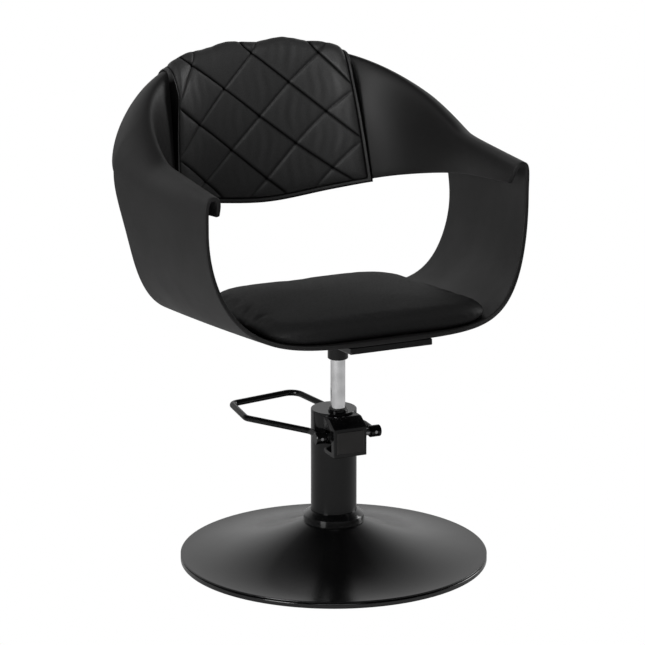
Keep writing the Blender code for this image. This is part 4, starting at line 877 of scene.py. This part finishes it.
def pad_height(across, up, edge, v):
    """Thickness of the wadding: hem, sewn groove, filled diamonds, channels and puckers.

    Its side edges stand off the shell where the pad bridges the band's curve. At the crest it
    bunches in a wave, sin(2 pi across / CREST_WAVE_L), fading towards the sides.
    """
    bridge = np.clip((v + 1.0) / 0.6, 0.0, 1.0) ** 1.4 * np.clip((-0.02 - v) / 0.42, 0.0, 1.0)
    side = np.clip((np.abs(across[:, :1]) - np.abs(across)) / BRIDGE_W, 0.0, 1.0)
    wall = HEM_T + BRIDGE_H * bridge * (1 - side) ** 2
    hem = wall * np.sqrt(1 - (1 - np.clip(edge / EDGE_ROUND, 0.0, 1.0)) ** 2)
    groove = 0.0026 * np.exp(-((edge - HEM_W) / 0.0013) ** 2)
    inside = np.clip(edge - HEM_W, 0.0, None)
    filled = FILL_T * (1 - np.exp(-inside / 0.009))
    near_a, near_b, rising, falling = quilting(across, up)
    channel_a = 0.0034 * np.exp(-(near_a / 0.0026) ** 1.5) + 0.0016 * np.exp(-near_a / 0.010)
    channel_b = 0.0024 * np.exp(-(near_b / 0.0022) ** 1.5) + 0.0013 * np.exp(-near_b / 0.009)
    dome = np.abs(np.sin(pi * rising) * np.sin(pi * falling)) ** 0.5
    inner = np.clip(inside / 0.010, 0.0, 1.0)
    lean = across + 0.10 * up + 0.004 * np.sin(up * 2 * pi / 0.09)
    folds = np.sin(lean * 2 * pi / PUCKER_L) * np.sin(lean * 2 * pi / 0.107 + 1.1)
    slack = 1.0 - 0.7 * np.clip((v + 0.07) / 0.07, 0.0, 1.0)
    sewn = 0.0008 * dome - (channel_a + channel_b) * slack + PUCKER_H * folds * dome ** 1.5
    wave = CREST_WAVE_H * np.sin((across - 0.012) * 2 * pi / CREST_WAVE_L)
    wave = wave * np.clip((v + 0.1) / 0.1, 0.0, 1.0)
    sewn = sewn + wave * np.clip((0.16 - np.abs(across)) / 0.06, 0.0, 1.0)
    thinner = 1.0 - 0.45 * np.clip(v / 0.13, 0.0, 1.0)
    return hem - groove + (filled + sewn * inner) * thinner


def pad_painted_shade(across, up, edge, v):
    """Painted shade on the cloth, 0 to 1: seams exp(-(d / w)^2), the hem groove, the lower side
    wall.
    """
    near_a, near_b, _, _ = quilting(across, up)
    seam = np.exp(-(near_a / 0.0026) ** 2) + 0.45 * np.exp(-(near_b / 0.0018) ** 2)
    seam *= np.clip((edge - HEM_W) / 0.004, 0.0, 1.0)
    groove = 0.9 * np.exp(-((edge - HEM_W) / 0.0016) ** 2)
    wall = np.clip((EDGE_ROUND - edge) / 0.0008, 0.0, 1.0) * np.clip((-0.10 - v) / 0.15, 0.0, 1.0)
    return np.clip(seam + groove + wall, 0.0, 1.0)


def quilted_pad():
    """Outer face = sheet + normal (gap + height), closed by an inner face at the gap."""
    edge_share = 0.08 * np.linspace(0.0, 1.0, 24)
    shares = np.concatenate([edge_share, np.linspace(0.08, 1.0, 110)[1:]])
    heights = np.concatenate([np.linspace(-1.0, -0.2, 150), np.linspace(-0.2, 0.13, 60)[1:]])
    sheet = laid_sheet(shares, heights)
    down = sheet[0] - sheet[2]
    down /= np.linalg.norm(down, axis=-1, keepdims=True)
    drops = PAD_DROP * np.linspace(1.0, 0.0, 8)[:-1]
    sheet = np.concatenate([sheet[:1] + down * drops[:, None, None], sheet])
    v = np.concatenate([np.full(len(drops), -1.0), heights])[:, None]
    across, up = sheet_lengths(sheet)
    edge = np.minimum(np.abs(across[:, :1]) - np.abs(across), up)
    height = np.maximum(pad_height(across, up - PAD_DROP, edge, v), 0.0)
    normal = sheet_normals(sheet)
    outer = sheet + normal * (PAD_GAP + height[..., None])
    inner = sheet + normal * PAD_GAP
    mesh = grid_mesh("back_pad", np.concatenate([outer, inner[::-1]]), ring=True)
    # Painted shade: seams, hem groove and lower side wall, as a 0 to 1 mask on each point.
    painted_shade = pad_painted_shade(across, up - PAD_DROP, edge, v)
    shade = mesh.attributes.new("painted_shade", "FLOAT", "POINT")
    shade.data.foreach_set("value", np.concatenate([painted_shade, painted_shade[::-1]]).ravel())
    return closed_up(mesh, 80.0)


pad_leather = leatherette("quilted_leatherette", (0.0300, 0.0300, 0.0302),
                          (0.0420, 0.0420, 0.0423), 0.44, 0.60, 0.22, 0.06, 0.02, 0.45)
pad = add_piece(quilted_pad(), pad_leather, "seat", "quilted_leatherette", "back_pad")


# ================================================================ rear cover
# Back half of the same slip-on cover: plain leatherette with a thin lining, sewn to the pad
# along the crest. It runs over the shell's lip and hangs down behind the band.
COVER_T = 0.0028


def rear_sheet():
    """Laid on the crest and lip, then lip + (foot - lip) t, bowed back by 12 mm sin(pi t)."""
    shares = np.linspace(0.0, 1.0, 60)
    over = laid_sheet(shares, np.linspace(0.12, 1.0, 40))
    over += sheet_normals_outward(over) * PAD_GAP
    foot_sheet = laid_sheet(shares, np.array([-1.0, -0.98, -0.96]))
    behind = SHELL_T + PAD_GAP + 0.004
    foot = (foot_sheet - sheet_normals(foot_sheet) * behind)[0]
    t = np.linspace(0.0, 1.0, 60)[1:, None, None]
    hang = over[-1] + (foot - over[-1]) * t
    across = np.linspace(-1.0, 1.0, hang.shape[1])[None, :]
    folds = 0.0016 * np.sin(across * 11 + 1.5 * np.sin(across * 4 + 3 * t[..., 0]))
    hang[..., 1] += 0.012 * np.sin(pi * t[..., 0]) + folds * np.sin(pi * t[..., 0])
    return np.concatenate([over, hang])


def sheet_normals_outward(points):
    """Unit normals that point up and away from the shell over the crest."""
    normal = np.cross(np.gradient(points, axis=0), np.gradient(points, axis=1))
    normal /= np.linalg.norm(normal, axis=-1, keepdims=True)
    return normal if normal[0, :, 2].mean() > 0 else -normal


def rear_cover():
    """Sheet with a sunk seam beside each hem, as one face that Solidify thickens outwards."""
    sheet = rear_sheet()
    across, up = sheet_lengths(sheet)
    edge = np.minimum(np.abs(across[:, :1]) - np.abs(across), up[-1:] - up)
    seam = 0.0011 * np.exp(-((edge - HEM_W) / 0.0014) ** 2)
    sheet -= sheet_normals_outward(sheet) * seam[..., None]
    mesh = grid_mesh("back_cover", sheet)
    mesh.update()
    if mesh.polygons[0].normal.z < 0:
        mesh.flip_normals()
    mesh.shade_smooth()
    return mesh


cover = add_piece(rear_cover(), pad_leather, "seat", "quilted_leatherette", "back_cover")
cloth = cover.modifiers.new("cloth", "SOLIDIFY")
cloth.thickness = COVER_T
cloth.offset = 1.0
turn = cover.modifiers.new("turned_edge", "BEVEL")
turn.width = 0.0010
turn.segments = 2
turn.limit_method = "ANGLE"
turn.angle_limit = radians(60.0)


# ================================================================ studio
# White floor, two tall soft boxes beside the chair, one overhead and a long lens set low. The
# front is left dim, so the black paint shows a dark streak between two pale ones.
def pale_floor():
    """White floor: even white to the eye, plain pale grey to the light that falls on it."""
    mat = bpy.data.materials.new("white_floor")
    mat.use_nodes = True
    tree = mat.node_tree
    shader = tree.nodes["Principled BSDF"]
    shader.inputs["Base Color"].default_value = (0.60, 0.60, 0.60, 1.0)
    shader.inputs["Emission Color"].default_value = (1.0, 1.0, 1.0, 1.0)
    shader.inputs["Emission Strength"].default_value = 0.13
    shader.inputs["Roughness"].default_value = 0.9
    shader.inputs["Specular IOR Level"].default_value = 0.0
    glow = node_in(tree, "ShaderNodeEmission", (("Color", (1.0, 1.0, 1.0, 1.0)),
                                                ("Strength", 1.0)))
    seen = node_in(tree, "ShaderNodeLightPath")
    blend = node_in(tree, "ShaderNodeMixShader", ((0, seen.outputs["Is Camera Ray"]),
                                                  (1, shader.outputs["BSDF"]),
                                                  (2, glow.outputs["Emission"])))
    tree.links.new(blend.outputs["Shader"], tree.nodes["Material Output"].inputs["Surface"])
    return mat


floor_half = 30.0
floor_mesh = grid_mesh("floor", np.array([[(-floor_half, -floor_half, 0.0),
                                           (floor_half, -floor_half, 0.0)],
                                          [(-floor_half, floor_half, 0.0),
                                           (floor_half, floor_half, 0.0)]]))
floor = bpy.data.objects.new("floor", floor_mesh)
bpy.context.scene.collection.objects.link(floor)
floor_mesh.materials.append(pale_floor())


def soft_box(name, place, aim, width, height, power):
    """A rectangular area light at place that points at aim."""
    light = bpy.data.lights.new(name, "AREA")
    light.shape = "RECTANGLE"
    light.size = width
    light.size_y = height
    light.energy = power
    lamp = bpy.data.objects.new(name, light)
    lamp.location = place
    lamp.rotation_mode = "QUATERNION"
    lamp.rotation_quaternion = (Vector(aim) - Vector(place)).to_track_quat("-Z", "Y")
    bpy.context.scene.collection.objects.link(lamp)


soft_box("left_box", (-3.4, -1.6, 1.6), (0.0, 0.0, 0.5), 1.4, 2.4, 88.0)
soft_box("right_box", (3.4, 0.4, 1.3), (0.0, 0.0, 0.5), 1.2, 2.2, 42.0)
soft_box("overhead_box", (-0.6, -1.6, 3.4), (0.0, 0.0, 0.6), 1.6, 1.4, 24.0)


def backdrop():
    """World light: bright behind the chair and low down, dim in front of it and overhead."""
    world = bpy.data.worlds.new("studio")
    world.use_nodes = True
    tree = world.node_tree
    around = tree.nodes.new("ShaderNodeTexCoord").outputs["Generated"]
    behind = node_in(tree, "ShaderNodeVectorMath",
                     ((0, around), (1, (-sin(CAMERA_ROUND), cos(CAMERA_ROUND), 0.0))),
                     operation="DOT_PRODUCT")
    parts = node_in(tree, "ShaderNodeSeparateXYZ", (("Vector", around),))
    rear = node_in(tree, "ShaderNodeMapRange", (("Value", behind.outputs["Value"]),
                                                ("From Min", -0.35), ("From Max", 0.75),
                                                ("To Min", 0.03), ("To Max", 0.62)),
                   interpolation_type="SMOOTHSTEP")
    low = node_in(tree, "ShaderNodeMapRange", (("Value", parts.outputs["Z"]),
                                               ("From Min", 0.35), ("From Max", 0.85),
                                               ("To Min", 1.0), ("To Max", 0.05)),
                  interpolation_type="SMOOTHSTEP")
    both = node_in(tree, "ShaderNodeMath", ((0, rear.outputs["Result"]),
                                            (1, low.outputs["Result"])), operation="MULTIPLY")
    tree.links.new(both.outputs["Value"], tree.nodes["Background"].inputs["Strength"])
    tree.nodes["Background"].inputs["Color"].default_value = (1.0, 1.0, 1.0, 1.0)
    return world


CAMERA_DISTANCE = 10.0
CAMERA_ROUND, CAMERA_UP = radians(-24.0), radians(19.0)
bpy.context.scene.world = backdrop()
bpy.context.scene.view_settings.view_transform = "Standard"

camera_place = CAMERA_DISTANCE * Vector((sin(CAMERA_ROUND) * cos(CAMERA_UP),
                                         -cos(CAMERA_ROUND) * cos(CAMERA_UP), sin(CAMERA_UP)))
camera_aim = Vector((-0.0195, 0.0087, 0.469))
camera_data = bpy.data.cameras.new("camera")
camera_data.sensor_width = 36.0
camera_data.lens = 291.6
camera = bpy.data.objects.new("camera", camera_data)
camera.location = camera_place
camera.rotation_mode = "QUATERNION"
camera.rotation_quaternion = (camera_aim - camera_place).to_track_quat("-Z", "Y")
bpy.context.scene.collection.objects.link(camera)
bpy.context.scene.camera = camera
